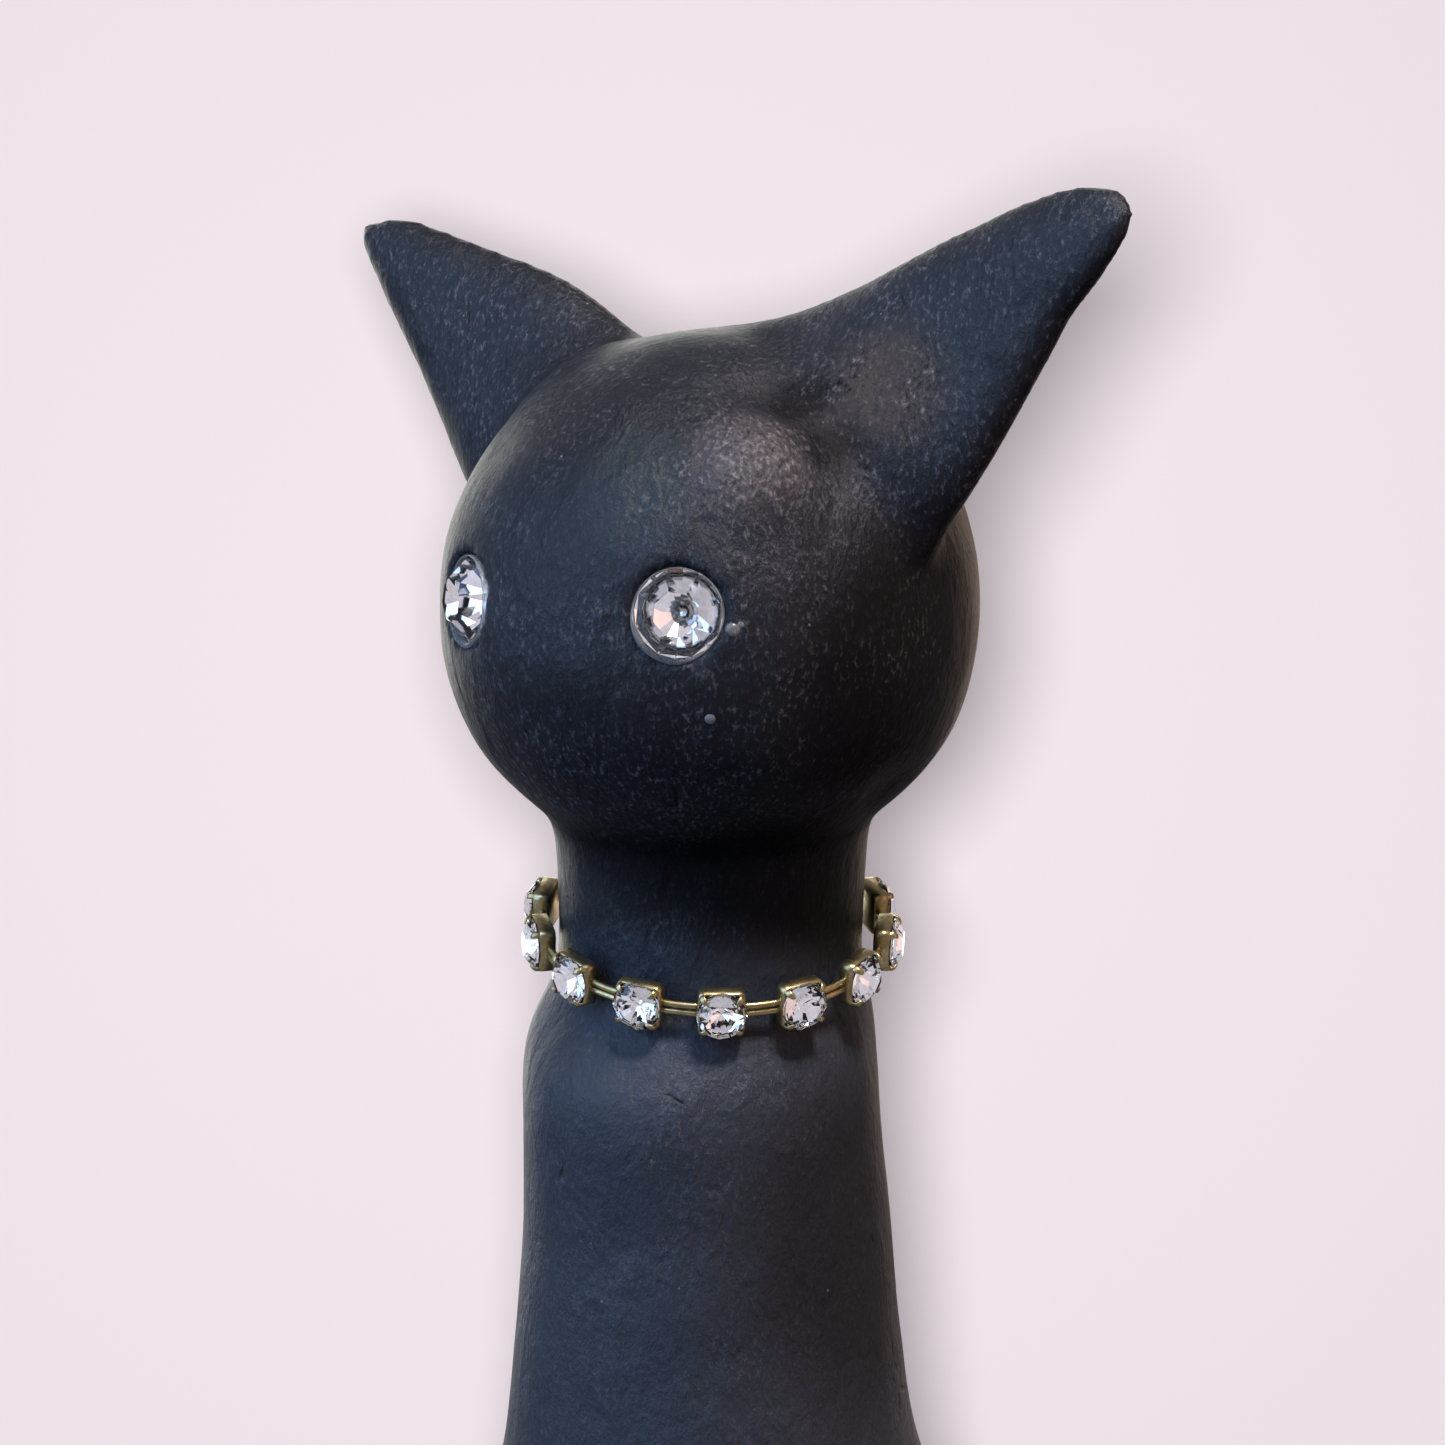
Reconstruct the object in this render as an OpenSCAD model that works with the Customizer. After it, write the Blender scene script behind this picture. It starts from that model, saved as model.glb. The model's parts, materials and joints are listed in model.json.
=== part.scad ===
// Wall clock in the form of a sitting clay cat, with a tail that swings.
// The origin is the centre of the hanger hole on the wall plane.
// +Z is up and the face looks along -Y, so the wall is the plane y = 0.

/* [Figure] */
// Distance from the wall to the upright axis of head and neck
axis_depth = 28; // [27.2:0.1:29]
// Height of the narrowest part of the neck above the underside
neck_h = 176; // [172:1:190]
// Radius of the neck at its narrowest part
neck_r = 15; // [14.5:0.1:15.2]
// Clay between the movement recess and the widest part of the sides
side_wall = 17.5; // [16:0.5:24]
// Clay below the movement recess
underside_wall = 15; // [14:0.5:20]
// Clay between the movement recess and the dial
floor_t = 6; // [5:0.1:7]
// How far the belly stands in front of the dial seat
belly_rise = 8; // [6:0.5:10]

/* [Head] */
// Radius of the head
head_r = 26.6; // [26:0.1:27]
// Thickness of the hollow head's clay
head_wall = 8; // [6:0.5:10]
// Height of the head's centre above the narrowest part of the neck
head_rise = 28.7; // [28:0.1:30]
// Sideways tilt of the head, which lifts the left ear
head_tilt = 5; // [0:0.5:8]
// Distance from the head's centre to the tip of an ear
ear_reach = 63; // [54:0.5:66]
// Half width of an ear at its root inside the head
ear_half_w = 17.3; // [14:0.1:18]
// Thickness of an ear at its root inside the head
ear_t = 11; // [8:0.5:13]
// Angle of the ears above the horizontal
ear_rise = 36; // [32:1:42]
// How much lower the right ear points
ear_droop = 2; // [0:0.5:6]
// Angle between the middle of the face and each eye
eye_turn = 32.6; // [28:0.1:38]
// Height of the eyes above the head's centre
eye_up = 2.7; // [0:0.1:6]
// How much nearer the middle of the face the right eye is set
eye_shift = 6.8; // [0:0.1:8]
// How much higher the right eye is set
eye_lift = 0.6; // [0:0.1:2]
// Radius of an eye stone
eye_r = 4.25; // [3.5:0.05:5]
// Width of the glue bead around an eye stone
glue_w = 1.3; // [0.8:0.1:1.8]
// Radius of the dowel between head and neck
dowel_r = 2.5; // [2:0.1:4]
// Length of the dowel
dowel_len = 36; // [28:1:40]

/* [Collar] */
// Drop of the collar's centre below the narrowest part of the neck
collar_drop = 5.1; // [4:0.1:7]
// Slope of the collar against the horizontal
collar_slope = 12.2; // [8:0.1:13]
// Direction of the collar's lowest point, turned from the face towards the left
collar_low = 46.5; // [30:0.5:60]
// Clearance between collar and neck
collar_gap = 0.4; // [0.35:0.05:0.8]
// Angle between neighbouring stones
stone_step = 26.6; // [26:0.1:27]
// Direction of the middle stone, turned from the face towards the left
stone_turn = 42.2; // [30:0.1:50]
// Radius of a collar stone
stone_r = 2.5; // [2.2:0.05:2.6]
// Side of a square cup
cup_w = 4.6; // [4.4:0.1:4.8]
// Depth of a cup
cup_depth = 1.6; // [1.4:0.1:2]
// Radius of the wire of the links
link_r = 0.35; // [0.25:0.05:0.45]

/* [Dial] */
// Outer radius of the bezel
bezel_r = 33; // [31:0.5:35]
// Thickness of the bezel's wall
bezel_wall = 1.3; // [1:0.1:2]
// Clay ring around the bezel
boss_wall = 3.2; // [2:0.1:4]
// Thickness of the dial plate
dial_t = 1; // [0.6:0.1:1.5]
// Length of the minute hand from the shaft
minute_len = 26; // [20:0.5:27]
// Length of the hour hand from the shaft
hour_len = 18; // [12:0.5:20]
// Thickness of the hands
hand_t = 0.6; // [0.4:0.1:0.8]
// Angle of the minute hand at rest, clockwise from twelve
minute_at = 60; // [0:1:359]
// Radius of an hour stud
stud_r = 0.8; // [0.5:0.1:1.2]

/* [Movement] */
// Clearance between the centre wheel and the battery's wall
train_gap = 0.4; // [0.3:0.05:1.5]
// Room for a leaf contact at each end of the battery
contact_room = 2.15; // [1.8:0.05:4]
// Wall of the movement case
case_wall = 1.6; // [1.4:0.1:1.8]
// Clearance around the case in its recess
recess_gap = 2; // [1:0.1:3]
// Free depth between the movement case and the wall
rear_space = 19; // [16:0.5:24]
// Thickness of the rubber washer in front of the case
rubber_t = 1; // [0.8:0.1:1.5]
// Outer radius of the threaded bushing
bush_r = 4; // [3.6:0.1:4.5]
// Outer radius of the hour wheel's tube
hour_tube_r = 2.5; // [2.4:0.05:2.8]
// Radius of the minute arbor
minute_r = 1.5; // [1.2:0.05:1.6]
// Radius of the wheel arbors
arbor_r = 0.5; // [0.4:0.05:0.55]
// Thickness of the motion wheels
motion_t = 1.5; // [1.2:0.1:1.8]
// Thickness of the going wheels
wheel_t = 1; // [0.8:0.1:1.2]
// Free depth between neighbouring wheels
layer_gap = 0.3; // [0.25:0.05:0.4]
// Depth left behind the wheels for the motor and the tail lever
lever_space = 3.7; // [3.5:0.1:5]
// Module of the minute, motion and knob wheels
motion_module = 0.4; // [0.38:0.01:0.42]
// Module of the centre and second wheels
going_module = 0.3; // [0.28:0.01:0.31]
// Module of the fifth wheel
fine_module = 0.24; // [0.22:0.01:0.25]
// Radius of the setting knob
knob_r = 5; // [4:0.1:6]
// Length of the setting knob behind the case
knob_len = 6; // [4:0.5:8]
// Radius of the battery
battery_r = 7.1; // [6.9:0.05:7.2]
// Length of the battery
battery_len = 50.5; // [49:0.1:51]

/* [Tail] */
// Distance of the tail's pivot below the shaft
pivot_drop = 10; // [9.5:0.1:11]
// Swing of the tail to each side
tail_swing = 10; // [6:0.5:12]
// Radius of the pivot pin
pivot_r = 1; // [0.8:0.05:1.2]
// Width of the lever
lever_w = 4; // [3:0.1:5]
// Thickness of the lever
lever_t = 2; // [1.6:0.1:2.4]
// Radius of the lever's magnet
magnet_r = 3; // [2.4:0.1:3.2]
// How far the tail hangs below the underside
tail_drop = 113; // [90:1:130]
// Radius of the tail at its top
tail_r = 6.5; // [5.5:0.1:7.5]
// Radius of the tail near its tip
tail_tip_r = 4.2; // [3.5:0.1:5]
// Radius of the rod that carries the tail
rod_r = 1.2; // [1:0.1:1.5]

/* [Hanger] */
// Height of the hanger hole above the underside
hanger_h = 89; // [88:0.5:96]
// Radius of the hanger's round hole
hanger_r = 4.5; // [4:0.1:5]
// Radius of the hanger's slot
slot_r = 2; // [1.6:0.1:2.5]
// Height of the slot's end above the round hole
slot_rise = 7.5; // [6:0.1:8]
// Thickness of the hanger plate
plate_t = 1.2; // [1:0.1:2]
// Depth of the pocket for the wall screw's head
pocket_depth = 7; // [5:0.5:10]
// Wood left behind the pocket
block_floor = 6; // [4:0.5:8]
// Radius of a wall bumper
bumper_r = 2.4; // [2:0.1:2.8]
// Thickness of a wall bumper
bumper_t = 2; // [1.5:0.1:3]

/* [Hidden] */
$fn = 48;

// Fits
fit = 0.05;
loose = 0.3;
over = 1;

// Depths inside the movement, counted back from the front of its case
hour_d = case_wall + layer_gap;
cannon_d = hour_d + motion_t + layer_gap;
centre_d = cannon_d + motion_t + layer_gap;
plate_d = centre_d + wheel_t + layer_gap;
third_d = plate_d + wheel_t + layer_gap;
second_d = third_d + wheel_t + layer_gap;
fifth_d = second_d + wheel_t + layer_gap;
motor_d = fifth_d + wheel_t + 2 * layer_gap;
cover_d = fifth_d + wheel_t + lever_space;
case_depth = cover_d + case_wall;
pivot_end = cover_d + case_wall / 2;

// Depths in front of the movement, counted the same way and so negative
seat_d = -rubber_t - floor_t;
dial_d = seat_d - dial_t;
washer_t = 0.5;
nut_t = 2.2;
nut_d = dial_d - washer_t - nut_t;
bush_proud = 0.8;
bush_end = nut_d - bush_proud;
hour_hand_gap = 0.7;
hour_hand_d = bush_end - hour_hand_gap - hand_t;
hand_gap = 1.2;
minute_hand_d = hour_hand_d - hand_gap - hand_t;
hand_nut_t = 1.2;
hand_nut_wall = 0.9;
hand_nut_cap = 0.5;
hand_nut_d = minute_hand_d - hand_nut_t;
glass_t = 1.1;
glass_gap = 0.2;
glass_d = hand_nut_d - glass_gap;
glass_rise = 1.8;
lip_rise = 1.4;
lip_w = 2;
lip_round = 0.6;
bezel_end = glass_d - glass_t - lip_rise;

// Wheel train: tooth counts, directions and centre distances
tooth_top = 0.95;
cannon_n = 12;
motion_n = 36;
motion_pinion_n = 10;
hour_n = 40;
pinion_n = 8;
centre_n = 64;
third_n = 60;
second_n = 40;
fifth_n = 48;
motion_c = (cannon_n + motion_n) / 2 * motion_module;
hour_module = motion_c * 2 / (hour_n + motion_pinion_n);
third_c = (centre_n + pinion_n) / 2 * going_module;
third_module = third_c * 2 / (third_n + pinion_n);
fifth_c = (second_n + pinion_n) / 2 * going_module;
rotor_c = (fifth_n + pinion_n) / 2 * fine_module;
motion_dir = 135;
knob_dir = 150;
third_dir = 215;
fifth_dir = 95;
rotor_dir = 100;
motion_at = motion_c * [cos(motion_dir), sin(motion_dir)];
knob_at = motion_at + motion_c * [cos(knob_dir), sin(knob_dir)];
third_at = third_c * [cos(third_dir), sin(third_dir)];
fifth_at = fifth_c * [cos(fifth_dir), sin(fifth_dir)];
rotor_at = fifth_at + rotor_c * [cos(rotor_dir), sin(rotor_dir)];
motion_phase = meshed(0, cannon_n, motion_n, motion_dir);

// Places of the main parts
case_front = -rear_space - case_depth;
divider_t = 0.8;
battery_room = 2 * (battery_r + loose);
case_w = 2 * (wheel_r(centre_n, going_module) + train_gap + divider_t + battery_room + case_wall);
case_h = battery_len + 2 * (contact_room + case_wall);
case_round = 2.5;
recess_round = 3;
recess_half_w = case_w / 2 + recess_gap;
recess_half_h = case_h / 2 + recess_gap;
dial_h = underside_wall + recess_half_h;
recess_top = dial_h + recess_half_h;
belly_front = -case_front - seat_d + belly_rise - axis_depth;
belly_half_w = recess_half_w + side_wall;
boss_r = bezel_r + loose + boss_wall;
boss_sink = 1.5;
boss_d = seat_d - belly_rise + boss_sink;
bezel_in = bezel_r - bezel_wall;
head_h = neck_h + head_rise;
dowel_up = 2;
dowel_low = neck_h - dowel_len / 2 + dowel_up;

// Dial furniture
dial_gap = 0.2;
stud_in = 2.6;
stud_h = 0.5;
hour_hand_w = 3.4;
minute_hand_w = 2.6;
hub_wall = 1.2;

// Places inside the case, from the shaft
inner_half_w = case_w / 2 - case_wall;
inner_half_h = case_h / 2 - case_wall;
battery_x = inner_half_w - battery_r - loose;
divider_x = battery_x - battery_r - loose - divider_t;
boss_screw_r = 2;
screw_gap = 0.4;
screw_left = -inner_half_w + boss_screw_r + screw_gap;
screw_right = divider_x - boss_screw_r - screw_gap;
screw_up = inner_half_h - boss_screw_r - screw_gap;
screw_places = [for (x = [screw_left, screw_right]) for (y = [-screw_up, screw_up]) [x, y]];
post_r = 1.5;
post_left = -20;
post_right = 6.5;
post_top = 16.8;
post_low = -13;
plate_margin = 2;
plate_left = post_left - plate_margin;
plate_right = divider_x - screw_gap;
plate_low = post_low - plate_margin;
plate_top = post_top + plate_margin;
coil_margin = 1.5;
coil_gap = 1.9;
coil_r = magnet_r + coil_margin;
coil_bore_r = 1.4;
coil_len = 6;
magnet_at = -inner_half_h + coil_r + coil_gap;
motor_rise = 8.2;
motor_y = rotor_at[1] + motor_rise;
motor_r = 2.4;
stator_t = 1;
stator_left = -21;
stator_right = 4.5;
stator_arm = 2;
pole_half_w = 6.2;
pole_half_h = 4.2;
pole_post = 4.9;
pole_post_up = 3;
pole_post_r = 1;
rotor_magnet_r = 3;
rotor_gap = 0.4;
motion_stud_r = arbor_r + 0.3;
end_play = 0.2;
case_screw_r = 0.9;
case_screw_bite = 5;
case_head_r = boss_screw_r - 0.3;
case_head_t = 1;
driver_w = 0.5;
flange_w = 2;
rubber_w = 9;
washer_w = 3;
nut_w = 2.4;
nub_r = 2.7;
nub_len = 1.2;

// Tail drive
lever_d = motor_d;
hook_drop = 4;
hook_y = -recess_half_h - hook_drop;
hook_r = 0.9;
hook_rim = 0.5;
lever_eye = 2;
magnet_rim = 1.2;
magnet_proud = 0.3;
rod_gap = 0.2;
rod_top = 1.6;
rod_sink = 18;
tail_head_gap = 9;
tail_side_gap = 1.3;
tail_depth_gap = 1.5;
lever_side_gap = 0.8;
swing_tan = tan(tail_swing);
tail_y = case_front + lever_d + lever_t + rod_gap + rod_r;
tail_top = underside_wall - tail_head_gap;
tail_slot_w = tail_r / cos(tail_swing) + (dial_h - pivot_drop) * swing_tan + tail_side_gap;
tail_slot_d = tail_r + tail_depth_gap;
lever_slot = lever_w / 2 + (case_h / 2 - pivot_drop) * swing_tan + lever_side_gap;
rod_low = tail_top - rod_sink;

// Sideways place and height of the tail's middle line, as shares of its drop below the underside
tail_curve = [[0, -0.07], [-0.032, -0.248], [-0.075, -0.443], [-0.075, -0.62], [-0.014, -0.797],
    [0.08, -0.938], [0.186, -1], [0.266, -0.956], [0.283, -0.867]];
tail_line = concat([[0, tail_top]], tail_drop * tail_curve);
tail_steps = 5;
tail_sides = 14;

// Collar, as a ring in its own sloping plane
neck_swell = 0.25;
neck_low_r = neck_r + neck_swell;
collar_r = (neck_low_r + collar_gap + cup_w / 2 * sin(collar_slope)) / cos(collar_slope);
collar_dip = collar_r * sin(collar_slope) + cup_w / 2 * cos(collar_slope);
stone_last = 6;
girdle_rise = 0.35;
crown_h = 0.95;
pavilion_h = 1.5;
table_share = 0.56;
cup_lip = 0.4;
cup_floor = 0.4;
cup_bore = stone_r - cup_lip;
prong_r = 0.4;
prong_proud = 0.5;
prong_at = (stone_r + fit + prong_r) / sqrt(2);
link_ring_r = collar_r + cup_depth / 2;
rail_gap = 0.14;
link_z = link_r + rail_gap / 2;
weld_turn = 0.05;
cup_edge = asin(cup_w / 2 / (link_ring_r - link_r)) + weld_turn;
clasp_turn = stone_turn + 180;
clasp_w = 4.2;
clasp_h = 3.6;
rivet_r = 0.9;
rivet_h = 0.6;
clasp_edge = asin(clasp_w / 2 / (link_ring_r - link_r)) + weld_turn;
link_spans = concat(
    [for (k = [-stone_last:stone_last - 1])
        [stone_turn + k * stone_step + cup_edge, stone_turn + (k + 1) * stone_step - cup_edge]],
    [[stone_turn + stone_last * stone_step + cup_edge, clasp_turn - clasp_edge],
     [clasp_turn + clasp_edge, stone_turn - stone_last * stone_step + 360 - cup_edge]]);

// Eye stones, along their own axis from the head's centre
eye_sink = 1;
eye_girdle = head_r - eye_sink;
eye_crown = 2.3;
eye_pavilion = 2.8;
socket_gap = 0.2;
socket_floor = eye_girdle - eye_pavilion - socket_gap;
glue_h = 1.5;
glue_shoulder = 1.2;

// Ears, in the head's own frame
ear_root = 14;
ear_lift = 2.4;
ear_sweep = 0.095;
ear_lean = 0.25;
ear_taper = 0.68;
ear_thinning = 0.5;
ear_end = 0.985;

// Hanger plate, from the hanger hole
pocket_gap = 0.8;
pocket_r = hanger_r + pocket_gap;
plate_cover = 1.5;
plate_half_w = 12;
plate_bottom = -pocket_r - plate_cover;
plate_up = slot_rise + pocket_r + plate_cover;
block_t = pocket_depth + block_floor;
plate_mid = (plate_bottom + plate_up) / 2;
hanger_screw_x = 9.5;
screw_r = 1.1;
screw_head_r = 2.2;
screw_len = 9;
plate_rim = 0.8;
hanger_boss_r = norm([plate_half_w, (plate_up - plate_bottom) / 2]) + plate_rim;
bumper_in = 3.2;
bumper_x = recess_half_w + bumper_in;
bumper_rise = 8;
bumper_h = underside_wall + bumper_rise;

// Cross sections of the torso: height, half width, reach to the front, reach to the back, squareness
chest_h = neck_h - collar_drop - collar_dip;
torso_sections = [
    [0, belly_half_w - 21, belly_front - 8.5, axis_depth + 12, 2.3],
    [underside_wall - 11, belly_half_w - 14, belly_front - 5.5, axis_depth + 15, 2.3],
    [underside_wall - 2, belly_half_w - 6.5, belly_front - 3, axis_depth + 17, 2.3],
    [underside_wall + 8, belly_half_w - 2.2, belly_front - 1.2, axis_depth + 18, 2.3],
    [dial_h - 6, belly_half_w, belly_front, axis_depth + 18, 2.3],
    [dial_h + 8, belly_half_w - 1, belly_front, axis_depth + 18, 2.3],
    [recess_top - 7, belly_half_w - 4.6, belly_front, axis_depth + 17, 2.3],
    [recess_top + 1, belly_half_w - 8, belly_front, axis_depth + 15.5, 2.3],
    [recess_top + 8, belly_half_w - 12, belly_front - 0.2, axis_depth + 12, 2.3],
    [recess_top + 15, belly_half_w - 16.5, belly_front - 0.4, axis_depth + 7, 2.25],
    [recess_top + 23, belly_half_w - 21, belly_front - 0.8, axis_depth + 0.5, 2.2],
    [recess_top + 31, neck_r + 8, belly_front - 1.2, axis_depth - 5, 2.15],
    [neck_h - 58, neck_r + 5.4, 21.2, 19.4, 2.1],
    [neck_h - 44, neck_r + 3.8, 20.6, 17.6, 2.05],
    [neck_h - 33, neck_r + 3.2, 20, 17.2, 2],
    [chest_h - 9, neck_r + 2.2, 19.5, 15.8, 2],
    [chest_h - 3.4, neck_r + 1.3, 17.8, 15.6, 2],
    [chest_h - 0.4, neck_low_r, neck_low_r + 0.15, neck_low_r, 2],
    [neck_h - collar_drop, neck_r + 0.1, neck_r + 0.1, neck_r + 0.1, 2],
    [neck_h, neck_r, neck_r, neck_r, 2],
    [neck_h + 5, neck_r + 0.4, neck_r + 0.4, neck_r + 0.4, 2],
    [neck_h + 10, neck_r + 1.2, neck_r + 1.2, neck_r + 1.2, 2]];
torso_sides = 40;
clay_black = "#1d1e21";
brass = "#b58a3e";
steel = "#9a9da1";
crystal = "#dfe6ea";
black_plastic = "#17181a";
cream_plastic = "#e6e0cf";
copper = "#a8602f";

// Height above the underside as a place in the part's frame
function lift(h) = h - hanger_h;
function join(lists) = [for (one = lists) for (item = one) item];
function middle(points) = [for (i = [0:2]) [for (p = points) p[i]] * [for (p = points) 1] / len(points)];
function rounded_power(v, squareness) = sign(v) * pow(abs(v), 2 / squareness);
function curve(a, b, c, d, t) =
    (2 * b + (c - a) * t + (2 * a - 5 * b + 4 * c - d) * t * t + (3 * b - a - 3 * c + d) * t * t * t) / 2;
function smooth(line, steps) = concat(
    [for (i = [0:len(line) - 2]) for (s = [0:steps - 1])
        curve(line[max(i - 1, 0)], line[i], line[i + 1], line[min(i + 2, len(line) - 1)], s / steps)],
    [line[len(line) - 1]]);

// Outer radius of a wheel
function wheel_r(n, size) = (n / 2 + tooth_top) * size;

// Turn of a wheel that meshes with a neighbour standing in the given direction from the first wheel
function meshed(phase, n, other_n, direction) =
    direction + 180 + 180 / other_n - (phase - direction) * n / other_n;

// Closed skin over rings of points, with a fan over each end
module skin(rings) {
    n = len(rings[0]);
    last = (len(rings) - 1) * n;
    points = concat(join(rings), [middle(rings[0]), middle(rings[len(rings) - 1])]);
    sides = [for (i = [0:len(rings) - 2]) for (j = [0:n - 1])
        let (a = i * n + j, b = i * n + (j + 1) % n)
        each [[a, a + n, b], [b, a + n, b + n]]];
    ends = [for (j = [0:n - 1])
        each [[last + n, j, (j + 1) % n], [last + n + 1, last + (j + 1) % n, last + j]]];
    polyhedron(points, concat(sides, ends));
}

// Frame of the movement: x to the right, y up from the shaft, depth runs back along -z
module movement() translate([0, case_front, lift(dial_h)]) rotate([90, 0, 0]) children();

// Flat piece between two depths
module slab(d0, d1) translate([0, 0, -d1]) linear_extrude(d1 - d0) children();

// Round piece between two depths
module post(at, r, d0, d1) translate([at[0], at[1], -d1]) cylinder(r = r, h = d1 - d0);

module round_rect(x0, y0, x1, y1, r) {
    translate([x0 + r, y0]) square([x1 - x0 - 2 * r, y1 - y0]);
    translate([x0, y0 + r]) square([x1 - x0, y1 - y0 - 2 * r]);
    for (x = [x0 + r, x1 - r]) for (y = [y0 + r, y1 - r]) translate([x, y]) circle(r);
}

// Slim clock teeth: thinner than their gaps, so that a pair never binds
module wheel(n, size, phase, addendum = tooth_top, dedendum = 1.05, share = 0.4, foot = 1.15) {
    half = share * 180 / n;
    pitch_r = n * size / 2;
    profile = [[pitch_r - dedendum * size, -foot * half], [pitch_r, -half],
        [pitch_r + addendum * size, -0.4 * half], [pitch_r + addendum * size, 0.4 * half],
        [pitch_r, half], [pitch_r - dedendum * size, foot * half]];
    polygon([for (i = [0:n - 1]) for (p = profile)
        p[0] * [cos(phase + i * 360 / n + p[1]), sin(phase + i * 360 / n + p[1])]]);
}

module pinion(n, size, phase) wheel(n, size, phase, 0.6, 1.25, 0.34, 1);

// Frame of the head: its centre, tilted sideways
module head_frame()
    translate([0, -axis_depth, lift(head_h)]) rotate([0, -head_tilt, 0]) children();

// Axis of an eye, pointing out of the head
module eye_frame(side)
    head_frame() rotate([0, 0, side * (side > 0 ? eye_turn : eye_turn - eye_shift) - 90])
        rotate([0, 90 - asin((side > 0 ? eye_up : eye_up + eye_lift) / head_r), 0]) children();

// Frame of the collar, with the turn 0 at the face
module collar_frame()
    translate([0, -axis_depth, lift(neck_h - collar_drop)])
        rotate([0, 0, collar_low - 90]) rotate([0, collar_slope, 0]) rotate([0, 0, 90 - collar_low])
            children();

// Place on the collar, with x pointing out of the neck
module on_collar(turn) collar_frame() rotate([0, 0, turn - 90]) children();

module each_stone() for (k = [-stone_last:stone_last]) on_collar(stone_turn + k * stone_step) children();

// Round brilliant stone with eight sides, girdle at z = 0
module stone(r, crown, pavilion, table)
    rotate_extrude($fn = 8) polygon([[0, crown], [r * table, crown], [r, 0.1], [r, -0.1],
        [r * 0.12, -pavilion], [0, -pavilion]]);

module torso_form() skin([for (s = torso_sections) [for (k = [0:torso_sides - 1])
    let (t = 360 * k / torso_sides, reach = sin(t) < 0 ? s[2] : s[3])
    [s[1] * rounded_power(cos(t), s[4]),
     min(reach * rounded_power(sin(t), s[4]), axis_depth) - axis_depth, lift(s[0])]]]);

module keyhole(grow) {
    circle(hanger_r + grow);
    translate([-slot_r - grow, 0]) square([2 * (slot_r + grow), slot_rise]);
    translate([0, slot_rise]) circle(slot_r + grow);
}

module hanger_outline(grow)
    round_rect(-plate_half_w - grow, plate_bottom - grow, plate_half_w + grow, plate_up + grow, 2);

// Frame of the hanger: x to the right, y up, depth runs from the wall into the figure along z
module hanger() rotate([90, 0, 0]) children();

module torso() color(clay_black) difference() {
    union() {
        torso_form();
        movement() post([0, 0], boss_r, boss_d, 0);
        translate([0, 0, plate_mid]) hanger() cylinder(r = hanger_boss_r, h = axis_depth);
    }
    translate([0, -axis_depth, lift(head_h)]) sphere(head_r + fit, $fn = 96);
    movement() {
        slab(-rubber_t, case_depth + rear_space + over)
            round_rect(-recess_half_w, -recess_half_h, recess_half_w, recess_half_h, recess_round);
        post([0, 0], bezel_r + loose, boss_d - axis_depth, seat_d);
        post([0, 0], bush_r + loose, seat_d - over, 0);
    }
    translate([-tail_slot_w, tail_y - tail_slot_d, lift(-over)])
        cube([2 * tail_slot_w, 2 * tail_slot_d, underside_wall + 2 * over]);
    hanger() {
        translate([0, 0, -over]) linear_extrude(plate_t + block_t + fit + over) hanger_outline(fit);
        for (x = [-bumper_x, bumper_x])
            translate([x, lift(bumper_h), -over]) cylinder(r = bumper_r + fit, h = bumper_t + over);
    }
    translate([0, -axis_depth, lift(dowel_low)]) cylinder(r = dowel_r + fit, h = dowel_len);
}

// Ear along its own line, from inside the head to a soft point
module ear(side) {
    rings = 14;
    sides = 20;
    rise = side > 0 ? ear_rise : ear_rise - ear_droop;
    along = [cos(rise), ear_sweep, sin(rise)];
    across = [-sin(rise), ear_lean, cos(rise)] / norm([1, ear_lean]);
    thick = cross(along, across);
    skin([for (i = [0:rings]) let (u = i / rings * ear_end) [for (k = [0:sides - 1]) let (
        t = side * 360 * k / sides,
        p = along * (ear_root + (ear_reach - ear_root) * u) + across * ear_lift
            + across * ear_half_w * pow(1 - u, ear_taper) * cos(t)
            + thick * ear_t / 2 * pow(1 - u, ear_thinning) * sin(t))
        [side * p[0], p[1], p[2]]]]);
}

module head() color(clay_black) difference() {
    union() {
        translate([0, -axis_depth, lift(head_h)]) sphere(head_r, $fn = 96);
        head_frame() {
            ear(1);
            ear(-1);
        }
    }
    for (side = [-1, 1]) eye_frame(side)
        translate([0, 0, socket_floor]) cylinder(r = eye_r + fit, h = head_r);
    translate([0, -axis_depth, lift(head_h)]) sphere(head_r - head_wall, $fn = 96);
    translate([0, -axis_depth, lift(dowel_low)]) cylinder(r = dowel_r + fit, h = dowel_len + end_play);
}

module neck_dowel() color("#c9a878")
    translate([0, -axis_depth, lift(dowel_low)]) cylinder(r = dowel_r, h = dowel_len);

module eye_stone(side) color(crystal)
    eye_frame(side) translate([0, 0, eye_girdle]) stone(eye_r, eye_crown, eye_pavilion, table_share);

module eye_stone_left() eye_stone(1);

module eye_stone_right() eye_stone(-1);

module eye_glue() color("#c8ccc8") for (side = [-1, 1]) difference() {
    eye_frame(side) translate([0, 0, eye_girdle]) rotate_extrude()
        polygon([[eye_r + fit, -over], [eye_r + glue_w, -over], [eye_r + glue_w / 2, glue_shoulder],
            [eye_r + fit, glue_h]]);
    translate([0, -axis_depth, lift(head_h)]) sphere(head_r + fit / 2, $fn = 240);
}

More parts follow.
